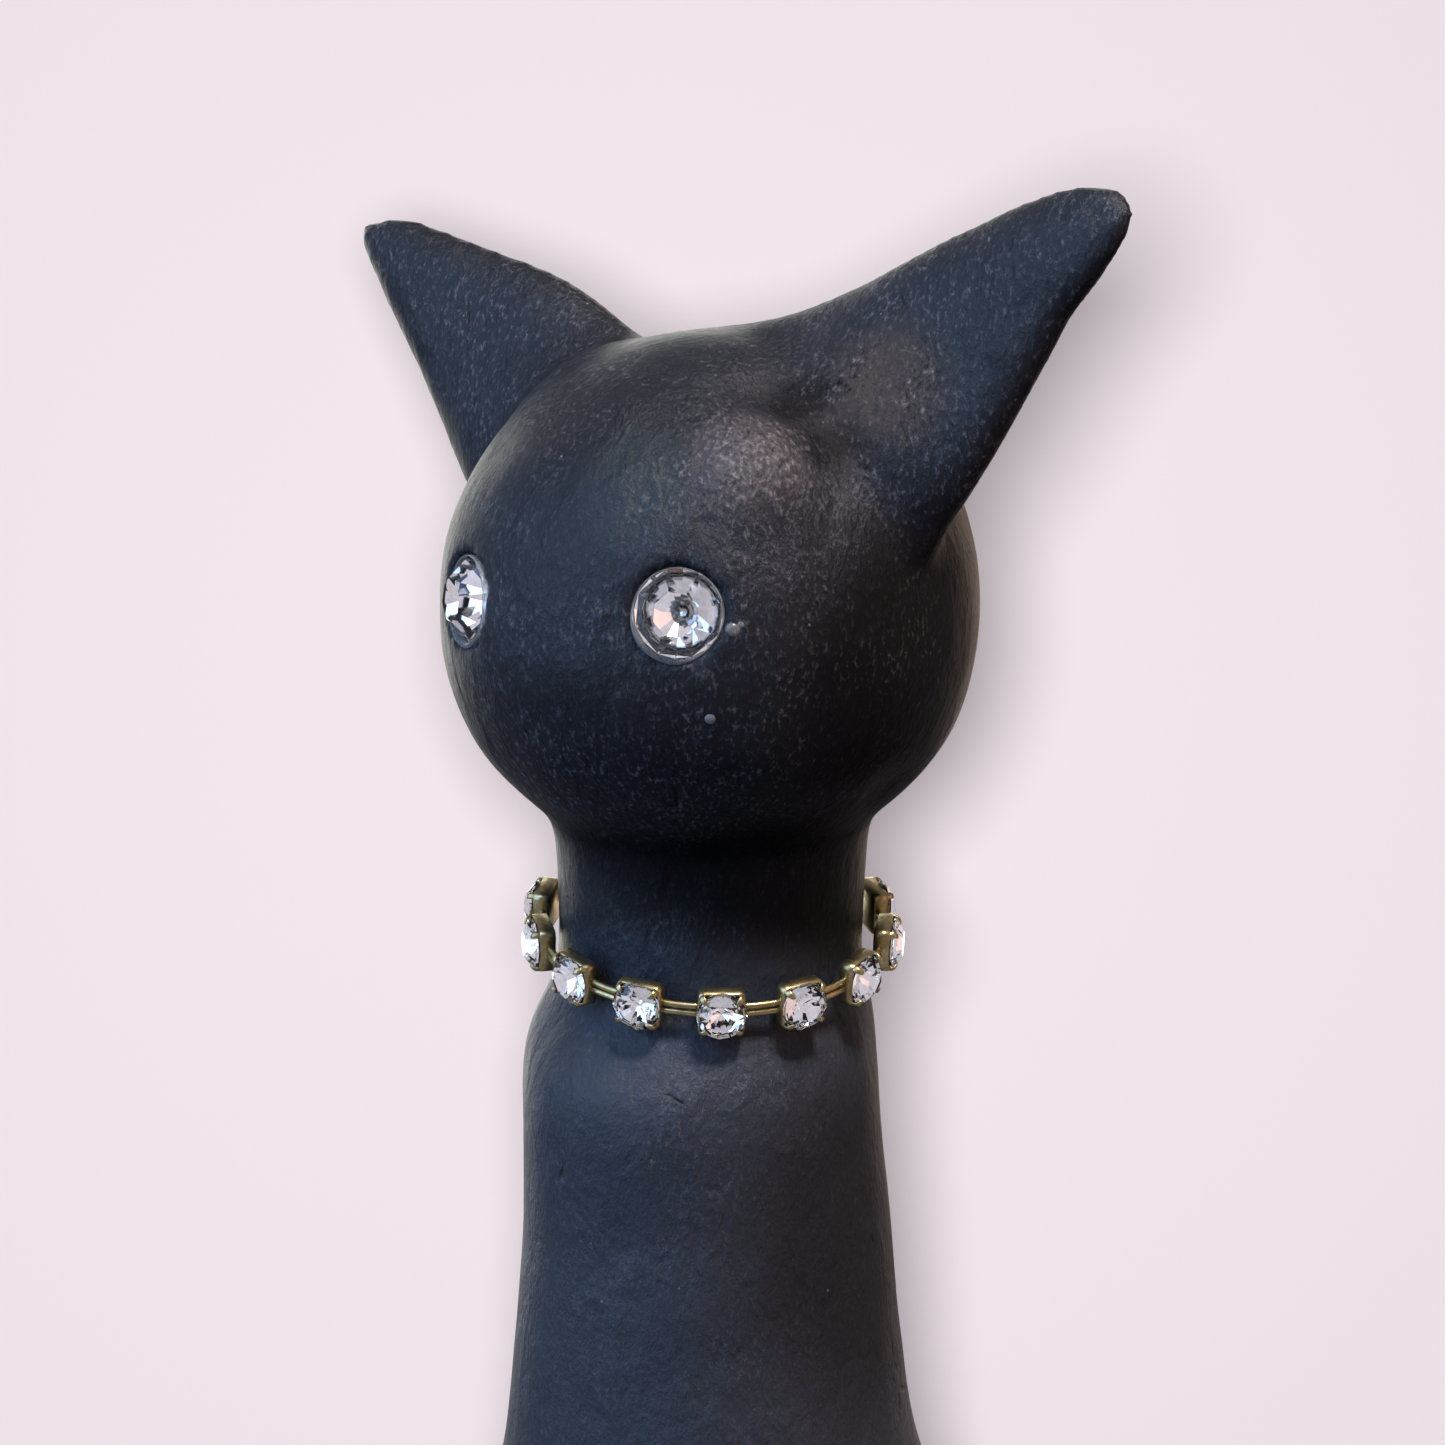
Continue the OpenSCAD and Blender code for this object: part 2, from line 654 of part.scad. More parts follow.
module collar_cups() color(brass) each_stone() {
    difference() {
        translate([collar_r, -cup_w / 2, -cup_w / 2]) cube([cup_depth, cup_w, cup_w]);
        translate([collar_r + cup_floor, 0, 0]) rotate([0, 90, 0]) cylinder(r = cup_bore, h = cup_depth);
    }
    for (y = [-prong_at, prong_at]) for (z = [-prong_at, prong_at])
        translate([collar_r + cup_depth, y, z]) rotate([0, 90, 0])
            cylinder(r = prong_r, h = girdle_rise + prong_proud);
}

module collar_stones() color(crystal) each_stone()
    translate([collar_r + cup_depth + girdle_rise, 0, 0]) rotate([0, 90, 0])
        stone(stone_r, crown_h, pavilion_h, table_share);

module collar_links() color(brass) for (span = link_spans) for (z = [-link_z, link_z])
    on_collar(span[0]) rotate_extrude(angle = span[1] - span[0]) translate([link_ring_r, z]) circle(link_r);

module collar_clasp() color(brass) on_collar(clasp_turn) {
    translate([collar_r, -clasp_w / 2, -clasp_h / 2]) cube([cup_depth, clasp_w, clasp_h]);
    translate([collar_r + cup_depth, 0, 0]) rotate([0, 90, 0]) cylinder(r = rivet_r, h = rivet_h);
}

module dial_plate() color("#ece5d0") movement() difference() {
    post([0, 0], bezel_in - dial_gap, dial_d, seat_d);
    post([0, 0], bush_r + fit, dial_d - over, seat_d + over);
}

module hour_studs() color(brass) movement() for (hour = [1:12])
    post((bezel_in - stud_in) * [sin(hour * 30), cos(hour * 30)], stud_r, dial_d - stud_h, dial_d);

module dial_bezel() color(brass) movement() rotate_extrude($fn = 96)
    polygon([[bezel_in, -seat_d], [bezel_r, -seat_d], [bezel_r, -glass_d - lip_round],
        [bezel_r - lip_round, -bezel_end - lip_round], [bezel_in - lip_round, -bezel_end],
        [bezel_in - lip_w, -bezel_end - lip_round], [bezel_in - lip_w, -glass_d + glass_t],
        [bezel_in, -glass_d + glass_t]]);

// Watch glass: a flat edge held behind the bezel's lip, and a low dome
module dial_glass() {
    edge_r = bezel_in - fit;
    dome_r = bezel_in - lip_w - glass_gap;
    steps = 6;
    color(crystal, 0.4) movement() rotate_extrude($fn = 96) polygon(concat(
        [[0, -glass_d + glass_rise - glass_t], [dome_r, -glass_d], [edge_r, -glass_d],
         [edge_r, -glass_d + glass_t]],
        [for (i = [steps:-1:0]) let (u = i / steps)
            [dome_r * u, -glass_d + glass_t + (glass_rise - glass_gap) * (1 - u * u)]]));
}

// Leaf-shaped hand with a round hub, turned clockwise from twelve
module hand(length, wide, shaft_r, hub_wall, d, turn) color(brass) movement() difference() {
    foot = 0.8;
    waist = 0.55;
    waist_share = 0.45;
    leaf_share = 0.62;
    union() {
        post([0, 0], shaft_r + hub_wall, d, d + hand_t);
        slab(d, d + hand_t) rotate(-turn) polygon([[-foot, 0], [-waist, length * waist_share],
            [-wide / 2, length * leaf_share], [0, length], [wide / 2, length * leaf_share],
            [waist, length * waist_share], [foot, 0]]);
    }
    post([0, 0], shaft_r + fit, d - over, d + hand_t + over);
}

module hour_hand() hand(hour_len, hour_hand_w, hour_tube_r, hub_wall, hour_hand_d, 300 + minute_at / 12);

module minute_hand() hand(minute_len, minute_hand_w, minute_r, hub_wall, minute_hand_d, minute_at);

module hand_nut() color(brass) movement() difference() {
    post([0, 0], minute_r + hand_nut_wall, hand_nut_d, minute_hand_d);
    post([0, 0], minute_r + fit, hand_nut_d + hand_nut_cap, minute_hand_d + over);
}

module case_outline(inset)
    round_rect(-case_w / 2 + inset, -case_h / 2 + inset, case_w / 2 - inset, case_h / 2 - inset,
        case_round - inset);

module movement_case() color(black_plastic) movement() difference() {
    union() {
        difference() {
            slab(0, cover_d) case_outline(0);
            slab(case_wall, cover_d + over) case_outline(case_wall);
        }
        slab(case_wall, cover_d) translate([divider_x, -inner_half_h]) square([divider_t, 2 * inner_half_h]);
        for (at = screw_places) post(at, boss_screw_r, case_wall, cover_d);
        for (x = [post_left, post_right]) for (y = [post_low, post_top])
            post([x, y], post_r, case_wall, plate_d);
        post(motion_at, motion_stud_r, case_wall, centre_d - layer_gap / 2);
    }
    post([0, 0], bush_r + fit, -over, case_wall + over);
    for (at = [third_at, knob_at]) post(at, arbor_r + fit, case_wall / 2, case_wall + over);
    for (at = screw_places) post(at, case_screw_r + fit, cover_d - case_screw_bite - over, cover_d + over);
    slab(lever_d - 2 * layer_gap, cover_d + over) translate([-lever_slot, -case_h / 2 - over])
        square([2 * lever_slot, case_wall + over + end_play]);
}

module rear_cover() color(black_plastic) movement() difference() {
    slab(cover_d, case_depth) case_outline(0);
    slab(cover_d - over, case_depth + over)
        translate([battery_x - battery_r - loose, -battery_len / 2 - nub_len])
            square([2 * (battery_r + loose), battery_len + 2 * nub_len]);
    for (at = [[0, 0], third_at, fifth_at, rotor_at])
        post(at, arbor_r + fit, cover_d - over, pivot_end + end_play);
    post(knob_at, minute_r + fit, cover_d - over, case_depth + over);
    post([0, -pivot_drop], pivot_r + fit, cover_d - over, case_depth + over);
    for (at = screw_places) post(at, case_screw_r + fit, cover_d - over, case_depth + over);
}

module case_screws() color(steel) movement() for (at = screw_places) difference() {
    union() {
        post(at, case_screw_r, cover_d - case_screw_bite, case_depth);
        post(at, case_head_r, case_depth, case_depth + case_head_t);
    }
    slab(case_depth + case_head_t / 2, case_depth + case_head_t + over)
        translate(at) square([2 * case_head_r + over, driver_w], center = true);
}

module middle_plate() color(cream_plastic) movement() difference() {
    union() {
        slab(plate_d, plate_d + wheel_t) round_rect(plate_left, plate_low, plate_right, plate_top, 2);
        for (x = [-pole_post, pole_post]) post(rotor_at + [x, pole_post_up], pole_post_r, plate_d, motor_d);
    }
    for (at = [[0, 0], fifth_at, rotor_at])
        post(at, arbor_r + fit, plate_d - over, plate_d + wheel_t + over);
    post(third_at, arbor_r + loose, plate_d - over, plate_d + wheel_t + over);
    post(knob_at, minute_r + loose, plate_d - over, plate_d + wheel_t + over);
}

module centre_bushing() color(brass) movement() difference() {
    union() {
        post([0, 0], bush_r, bush_end, case_wall);
        post([0, 0], bush_r + flange_w, -rubber_t, 0);
    }
    post([0, 0], hour_tube_r + fit, bush_end - over, case_wall + over);
}

module rubber_washer() color("#26262a") movement() difference() {
    post([0, 0], bush_r + rubber_w, -rubber_t, 0);
    post([0, 0], bush_r + flange_w + fit, -rubber_t - over, over);
}

module mounting_washer() color(brass) movement() difference() {
    post([0, 0], bush_r + washer_w, dial_d - washer_t, dial_d);
    post([0, 0], bush_r + fit, dial_d - washer_t - over, dial_d + over);
}

module mounting_nut() color(brass) movement() difference() {
    translate([0, 0, -nut_d - nut_t]) cylinder(r = bush_r + nut_w, h = nut_t, $fn = 6);
    post([0, 0], bush_r + fit, nut_d - over, nut_d + nut_t + over);
}

module circuit_board() color("#2c5a3a") movement() {
    board_t = 1.2;
    board_gap = 0.6;
    board_left = screw_left + boss_screw_r + board_gap;
    board_right = -coil_r - board_gap;
    board_low = -inner_half_h + board_gap;
    board_top = magnet_at + magnet_r + board_gap;
    chip_r = 2.4;
    chip_t = 0.8;
    slab(case_wall, case_wall + board_t)
        translate([board_left, board_low]) square([board_right - board_left, board_top - board_low]);
    post([board_left + board_right, board_low + board_top] / 2, chip_r, case_wall + board_t,
        case_wall + board_t + chip_t);
}

// Flat iron ring of the motor: pole piece around the rotor, and the core that carries the coil
module stator() color(steel) movement() slab(motor_d, motor_d + stator_t) difference() {
    pole_top = rotor_at[1] + pole_half_h;
    union() {
        translate(rotor_at - [pole_half_w, pole_half_h])
            square([stator_right - rotor_at[0] + pole_half_w, 2 * pole_half_h]);
        translate([stator_left, pole_top - stator_arm])
            square([stator_right - stator_left, stator_arm]);
        translate([stator_left, motor_y - stator_arm / 2])
            square([stator_right - stator_left, stator_arm]);
        for (x = [stator_left, stator_right - stator_arm]) translate([x, pole_top - stator_arm])
            square([stator_arm, motor_y + stator_arm - pole_top + stator_arm / 2]);
    }
    translate(rotor_at) circle(rotor_magnet_r + rotor_gap);
}

module motor_coil() color(copper) movement() {
    end_gap = 0.6;
    coil_from = stator_left + stator_arm + end_gap;
    coil_to = stator_right - stator_arm - end_gap;
    translate([coil_from, motor_y, -motor_d - stator_t / 2]) rotate([0, 90, 0]) difference() {
        cylinder(r = motor_r, h = coil_to - coil_from);
        translate([0, 0, -over])
            cylinder(r = norm([stator_arm, stator_t]) / 2 + fit, h = coil_to - coil_from + 2 * over);
    }
}

module rotor() color(steel) movement() {
    slab(fifth_d, fifth_d + wheel_t) translate(rotor_at)
        pinion(pinion_n, fine_module, meshed(0, fifth_n, pinion_n, rotor_dir));
    post(rotor_at, arbor_r, plate_d + end_play, pivot_end);
    post(rotor_at, rotor_magnet_r, motor_d - end_play, motor_d + stator_t + end_play);
}

module fifth_wheel() color(cream_plastic) movement() {
    slab(fifth_d, fifth_d + wheel_t) translate(fifth_at) wheel(fifth_n, fine_module, 0);
    slab(second_d, fifth_d) translate(fifth_at)
        pinion(pinion_n, going_module, meshed(0, second_n, pinion_n, fifth_dir));
    post(fifth_at, arbor_r, plate_d + end_play, pivot_end);
}

module second_wheel() color(cream_plastic) movement() {
    slab(second_d, second_d + wheel_t) wheel(second_n, going_module, 0);
    slab(third_d, second_d) pinion(pinion_n, third_module, 0);
    post([0, 0], arbor_r, plate_d + end_play, pivot_end);
}

module third_wheel() color(cream_plastic) movement() {
    slab(third_d, third_d + wheel_t) translate(third_at)
        wheel(third_n, third_module, meshed(0, pinion_n, third_n, third_dir));
    slab(centre_d, centre_d + wheel_t) translate(third_at) pinion(pinion_n, going_module, 0);
    post(third_at, arbor_r, case_wall / 2 + end_play, pivot_end);
}

module centre_wheel() color(cream_plastic) movement() difference() {
    slab(centre_d, centre_d + wheel_t)
        wheel(centre_n, going_module, meshed(0, pinion_n, centre_n, third_dir + 180));
    post([0, 0], minute_r + fit, centre_d - over, centre_d + wheel_t + over);
}

module minute_arbor() color(steel) movement() {
    slab(cannon_d, cannon_d + motion_t) pinion(cannon_n, motion_module, 0);
    post([0, 0], minute_r, hand_nut_d + hand_nut_cap + end_play, plate_d - layer_gap / 2);
}

module motion_wheel() color(cream_plastic) movement() difference() {
    translate(motion_at) {
        slab(cannon_d, cannon_d + motion_t) wheel(motion_n, motion_module, motion_phase);
        slab(hour_d, cannon_d) pinion(motion_pinion_n, hour_module, 0);
    }
    post(motion_at, motion_stud_r + fit, hour_d - over, cannon_d + motion_t + over);
}

module hour_wheel() color(cream_plastic) movement() difference() {
    union() {
        slab(hour_d, hour_d + motion_t)
            wheel(hour_n, hour_module, meshed(0, motion_pinion_n, hour_n, motion_dir + 180));
        post([0, 0], hour_tube_r, hour_hand_d - end_play, hour_d + motion_t);
    }
    post([0, 0], minute_r + fit, hour_hand_d - over, hour_d + motion_t + over);
}

module setting_knob() color(cream_plastic) movement() difference() {
    ribs = 12;
    rib_r = 0.8;
    rib_out = 0.3;
    union() {
        slab(cannon_d, cannon_d + motion_t) translate(knob_at)
            pinion(cannon_n, motion_module, meshed(motion_phase, motion_n, cannon_n, knob_dir));
        post(knob_at, arbor_r, case_wall / 2 + end_play, cannon_d);
        post(knob_at, minute_r, cannon_d + motion_t, case_depth + loose);
        post(knob_at, knob_r, case_depth + loose, case_depth + knob_len);
    }
    for (i = [1:ribs]) post(knob_at + (knob_r + rib_out) * [cos(i * 360 / ribs), sin(i * 360 / ribs)],
        rib_r, case_depth, case_depth + knob_len + over);
}

module battery() color("#3a4652") movement()
    translate([battery_x, -battery_len / 2, -case_wall - loose - battery_r]) rotate([-90, 0, 0]) {
        cylinder(r = battery_r, h = battery_len - nub_len);
        cylinder(r = nub_r, h = battery_len);
    }

// Springy leaf that bows from the case's end wall towards the battery
module contact(end) {
    leaf_t = 0.4;
    leaf_w = 6;
    reach = contact_room - 2 * fit;
    spread = 4;
    foot = 1;
    nose = 0.6;
    bend = 0.2;
    d0 = case_wall + battery_r - leaf_w / 2;
    color(steel) movement() slab(d0, d0 + leaf_w) scale([1, end]) translate([battery_x, inner_half_h])
        polygon([[-spread - foot, 0], [-spread, 0], [0, -reach + leaf_t], [spread, 0], [spread + foot, 0],
            [spread + foot, -leaf_t], [spread + bend, -leaf_t], [nose, -reach], [-nose, -reach],
            [-spread - bend, -leaf_t], [-spread - foot, -leaf_t]]);
}

module contact_plus() contact(1);

module contact_minus() contact(-1);

module pivot_pin() color(steel) movement() post([0, -pivot_drop], pivot_r, lever_d - end_play, case_depth);

module tail_lever() color(cream_plastic) movement() difference() {
    slab(lever_d, lever_d + lever_t) {
        translate([0, -pivot_drop]) circle(pivot_r + lever_eye);
        translate([-lever_w / 2, hook_y]) square([lever_w, -pivot_drop - hook_y]);
        translate([0, magnet_at]) circle(magnet_r + magnet_rim);
        translate([0, hook_y]) circle(lever_w / 2 + hook_rim);
    }
    post([0, -pivot_drop], pivot_r + fit, lever_d - over, lever_d + lever_t + over);
    post([0, magnet_at], magnet_r + fit, lever_d - over, lever_d + lever_t + over);
    post([0, hook_y], hook_r + fit, lever_d - over, lever_d + lever_t + over);
}

module tail_magnet() color(steel) movement()
    post([0, magnet_at], magnet_r, lever_d - magnet_proud, lever_d + lever_t + magnet_proud);

module drive_coil() color(copper) movement() difference() {
    post([0, magnet_at], coil_r, case_wall, case_wall + coil_len);
    post([0, magnet_at], coil_bore_r, case_wall + over, case_wall + coil_len + over);
}

// Rod that hangs on the lever by a cross pin and runs down into the tail
module tail_rod() color(brass) {
    hook_top = dial_h + hook_y + rod_top;
    translate([0, tail_y, lift(rod_low)]) cylinder(r = rod_r, h = hook_top - rod_low);
    movement() post([0, hook_y], hook_r, lever_d - hook_r, tail_y - case_front);
}

module tail() color(clay_black) difference() {
    line = smooth(tail_line, tail_steps);
    count = len(line) - 1;
    tip_sharp = 12;
    tip_end = 0.02;
    skin([for (i = [0:count]) let (
        ahead = line[min(i + 1, count)] - line[max(i - 1, 0)],
        across = [-ahead[1], ahead[0]] / norm(ahead),
        tip = pow(i / count, tip_sharp),
        r = (tail_r + (tail_tip_r - tail_r) * i / count) * sqrt(1 + tip_end - tip))
        [for (k = [0:tail_sides - 1]) let (t = -360 * k / tail_sides)
            [line[i][0] + across[0] * r * cos(t), tail_y + r * sin(t),
             lift(line[i][1] + across[1] * r * cos(t))]]]);
    translate([0, tail_y, lift(rod_low - end_play)]) cylinder(r = rod_r + fit, h = tail_top - rod_low + over);
}

module hanger_plate() color(steel) hanger() difference() {
    linear_extrude(plate_t) difference() {
        hanger_outline(0);
        keyhole(0);
    }
    for (x = [-hanger_screw_x, hanger_screw_x]) translate([x, plate_mid, 0])
        cylinder(r1 = screw_head_r + fit, r2 = screw_r + fit, h = plate_t);
}

// Wood behind the plate, for the plate's screws, with the pocket for the head of the wall screw
module hanger_block() color("#c9a878") hanger() difference() {
    translate([0, 0, plate_t]) linear_extrude(block_t) hanger_outline(0);
    linear_extrude(plate_t + pocket_depth) {
        circle(pocket_r);
        translate([-pocket_r, 0]) square([2 * pocket_r, slot_rise]);
        translate([0, slot_rise]) circle(pocket_r);
    }
    for (x = [-hanger_screw_x, hanger_screw_x])
        translate([x, plate_mid, 0]) cylinder(r = screw_r + fit, h = screw_len + over);
}

module hanger_screws() color(steel) hanger() for (x = [-hanger_screw_x, hanger_screw_x])
    translate([x, plate_mid, 0]) {
        cylinder(r1 = screw_head_r, r2 = screw_r, h = plate_t);
        cylinder(r = screw_r, h = screw_len);
    }

module wall_bumpers() color("#2a2a2c") hanger() for (x = [-bumper_x, bumper_x])
    translate([x, lift(bumper_h), 0]) cylinder(r = bumper_r, h = bumper_t);

torso();
head();
neck_dowel();
eye_stone_left();
eye_stone_right();
eye_glue();
collar_cups();
collar_stones();
collar_links();
collar_clasp();
dial_plate();
hour_studs();
dial_bezel();
dial_glass();
hour_hand();
minute_hand();
hand_nut();
movement_case();
rear_cover();
case_screws();
middle_plate();
centre_bushing();
rubber_washer();
mounting_washer();
mounting_nut();
circuit_board();
stator();
motor_coil();
rotor();
fifth_wheel();
second_wheel();
third_wheel();
centre_wheel();
minute_arbor();
motion_wheel();
hour_wheel();
setting_knob();
battery();
contact_plus();
contact_minus();
pivot_pin();
tail_lever();
tail_magnet();
drive_coil();
tail_rod();
tail();
hanger_plate();
hanger_block();
hanger_screws();
wall_bumpers();
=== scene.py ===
"""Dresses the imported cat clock: thumbed clay, foiled stones, a cup chain, a dial and the movement.

All sizes are millimetres in the part's own frame, and become metres only when a mesh is made.
"""

from __future__ import annotations

import json
import logging
import math
import random
from collections.abc import Callable, Iterable, Sequence
from dataclasses import dataclass, field
from enum import Enum

import bmesh
import bpy
import numpy as np
from mathutils import Matrix, Quaternion, Vector, noise

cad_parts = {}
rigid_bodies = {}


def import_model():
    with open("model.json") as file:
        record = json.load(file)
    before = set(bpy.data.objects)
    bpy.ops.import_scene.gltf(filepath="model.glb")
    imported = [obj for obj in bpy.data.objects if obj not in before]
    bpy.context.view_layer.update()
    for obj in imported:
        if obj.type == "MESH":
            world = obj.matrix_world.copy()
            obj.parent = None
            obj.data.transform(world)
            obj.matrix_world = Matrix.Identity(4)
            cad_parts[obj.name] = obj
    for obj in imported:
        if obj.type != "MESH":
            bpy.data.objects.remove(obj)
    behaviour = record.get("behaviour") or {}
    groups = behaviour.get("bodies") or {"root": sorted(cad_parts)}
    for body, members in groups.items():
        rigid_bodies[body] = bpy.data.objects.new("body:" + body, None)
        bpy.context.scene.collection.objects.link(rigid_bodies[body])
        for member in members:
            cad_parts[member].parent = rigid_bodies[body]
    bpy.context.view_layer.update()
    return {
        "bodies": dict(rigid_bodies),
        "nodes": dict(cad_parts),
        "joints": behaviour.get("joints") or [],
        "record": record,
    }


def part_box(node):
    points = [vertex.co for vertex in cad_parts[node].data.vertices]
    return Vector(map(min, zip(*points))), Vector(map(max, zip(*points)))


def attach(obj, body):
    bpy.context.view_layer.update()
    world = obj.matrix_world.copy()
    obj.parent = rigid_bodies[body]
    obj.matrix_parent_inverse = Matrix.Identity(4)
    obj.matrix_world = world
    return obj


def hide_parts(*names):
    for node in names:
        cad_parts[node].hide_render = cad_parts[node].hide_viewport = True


LOG = logging.getLogger("cat_clock")
MM = 0.001
Point = Sequence[float]
Outline = list[tuple[float, float]]


def linear(hex_code: str) -> tuple[float, float, float, float]:
    """Turns an sRGB hex colour into a linear colour.

    Args:
        hex_code: colour as #rrggbb.

    Returns:
        Linear red, green and blue, with full alpha.
    """
    parts = [int(hex_code[i : i + 2], 16) / 255 for i in (1, 3, 5)]
    low = [c / 12.92 if c <= 0.04045 else ((c + 0.055) / 1.055) ** 2.4 for c in parts]
    return (low[0], low[1], low[2], 1.0)


def add_node(
    tree: bpy.types.NodeTree,
    kind: str,
    settings: dict | None = None,
    links: dict | None = None,
) -> bpy.types.Node:
    """Adds one node with its settings and links.

    Args:
        tree: node tree that takes the node.
        kind: node type without the common prefix, such as TexNoise.
        settings: values by property name, socket name or socket number.
        links: source sockets by input name or number.

    Returns:
        The new node.
    """
    node = tree.nodes.new(f"ShaderNode{kind}")
    for key, value in (settings or {}).items():
        if isinstance(key, int) or key in node.inputs:
            node.inputs[key].default_value = value
        else:
            setattr(node, key, value)
    for key, source in (links or {}).items():
        tree.links.new(source, node.inputs[key])
    return node


@dataclass(frozen=True)
class Finish:
    """A named finish whose nodes are drawn once and then shared."""

    name: str

    def material(self) -> bpy.types.Material:
        """Gives the finish's material, drawing it on first use.

        Returns:
            The material.
        """
        made = bpy.data.materials.get(self.name)
        if made is None:
            made = bpy.data.materials.new(self.name)
            made.use_nodes = True
            shader = next(n for n in made.node_tree.nodes if n.type == "BSDF_PRINCIPLED")
            self.draw(made.node_tree, shader)
        return made

    def draw(self, tree: bpy.types.NodeTree, shader: bpy.types.Node) -> None:
        """Draws the nodes into the shader.

        Args:
            tree: the material's node tree.
            shader: its Principled shader.
        """
        raise NotImplementedError


@dataclass(frozen=True)
class Mottled(Finish):
    """Two mottled tones, uneven gloss and a fine grain, for metals, plastics, glass and enamel."""

    tone: str
    shade: str
    mottle_mm: float
    gloss: tuple[float, float]
    grain_mm: float
    grain_depth_mm: float
    stretch: tuple[float, float, float] = (1.0, 1.0, 1.0)
    sockets: tuple[tuple[str, float], ...] = ()

    def draw(self, tree: bpy.types.NodeTree, shader: bpy.types.Node) -> None:
        """Draws tone, gloss and grain from two noises in the piece's own place.

        Args:
            tree: the material's node tree.
            shader: its Principled shader.
        """
        place = add_node(tree, "TexCoord").outputs["Object"]
        drawn = add_node(tree, "Mapping", {"Scale": self.stretch}, {"Vector": place}).outputs[0]
        mottle = add_node(
            tree,
            "TexNoise",
            {"Scale": 1 / (self.mottle_mm * MM), "Detail": 4.0, "Roughness": 0.6},
            {"Vector": drawn},
        ).outputs[0]
        spread = add_node(tree, "MapRange", {1: 0.3, 2: 0.7}, {0: mottle}).outputs[0]
        tone = add_node(
            tree,
            "Mix",
            {"data_type": "RGBA", 6: linear(self.tone), 7: linear(self.shade)},
            {0: spread},
        )
        gloss = add_node(
            tree, "MapRange", {1: 0.3, 2: 0.7, 3: self.gloss[0], 4: self.gloss[1]}, {0: mottle}
        )
        grain = add_node(
            tree, "TexNoise", {"Scale": 1 / (self.grain_mm * MM), "Detail": 2.0}, {"Vector": drawn}
        )
        relief = add_node(
            tree,
            "Bump",
            {"Strength": 0.6, "Distance": self.grain_depth_mm * MM},
            {"Height": grain.outputs[0]},
        )
        tree.links.new(tone.outputs[2], shader.inputs["Base Color"])
        tree.links.new(gloss.outputs[0], shader.inputs["Roughness"])
        tree.links.new(relief.outputs[0], shader.inputs["Normal"])
        for socket, value in self.sockets:
            shader.inputs[socket].default_value = value


@dataclass(frozen=True)
class Rub:
    """A patch of painted light or shade on the clay.

    It has a place, a full and an outer reach, a tone, a cover, and a share of gloss and grain left.
    """

    at: tuple[float, float, float]
    core_mm: float
    reach_mm: float
    tone: str
    cover: float
    sheen: float
    grain: float = 1.0


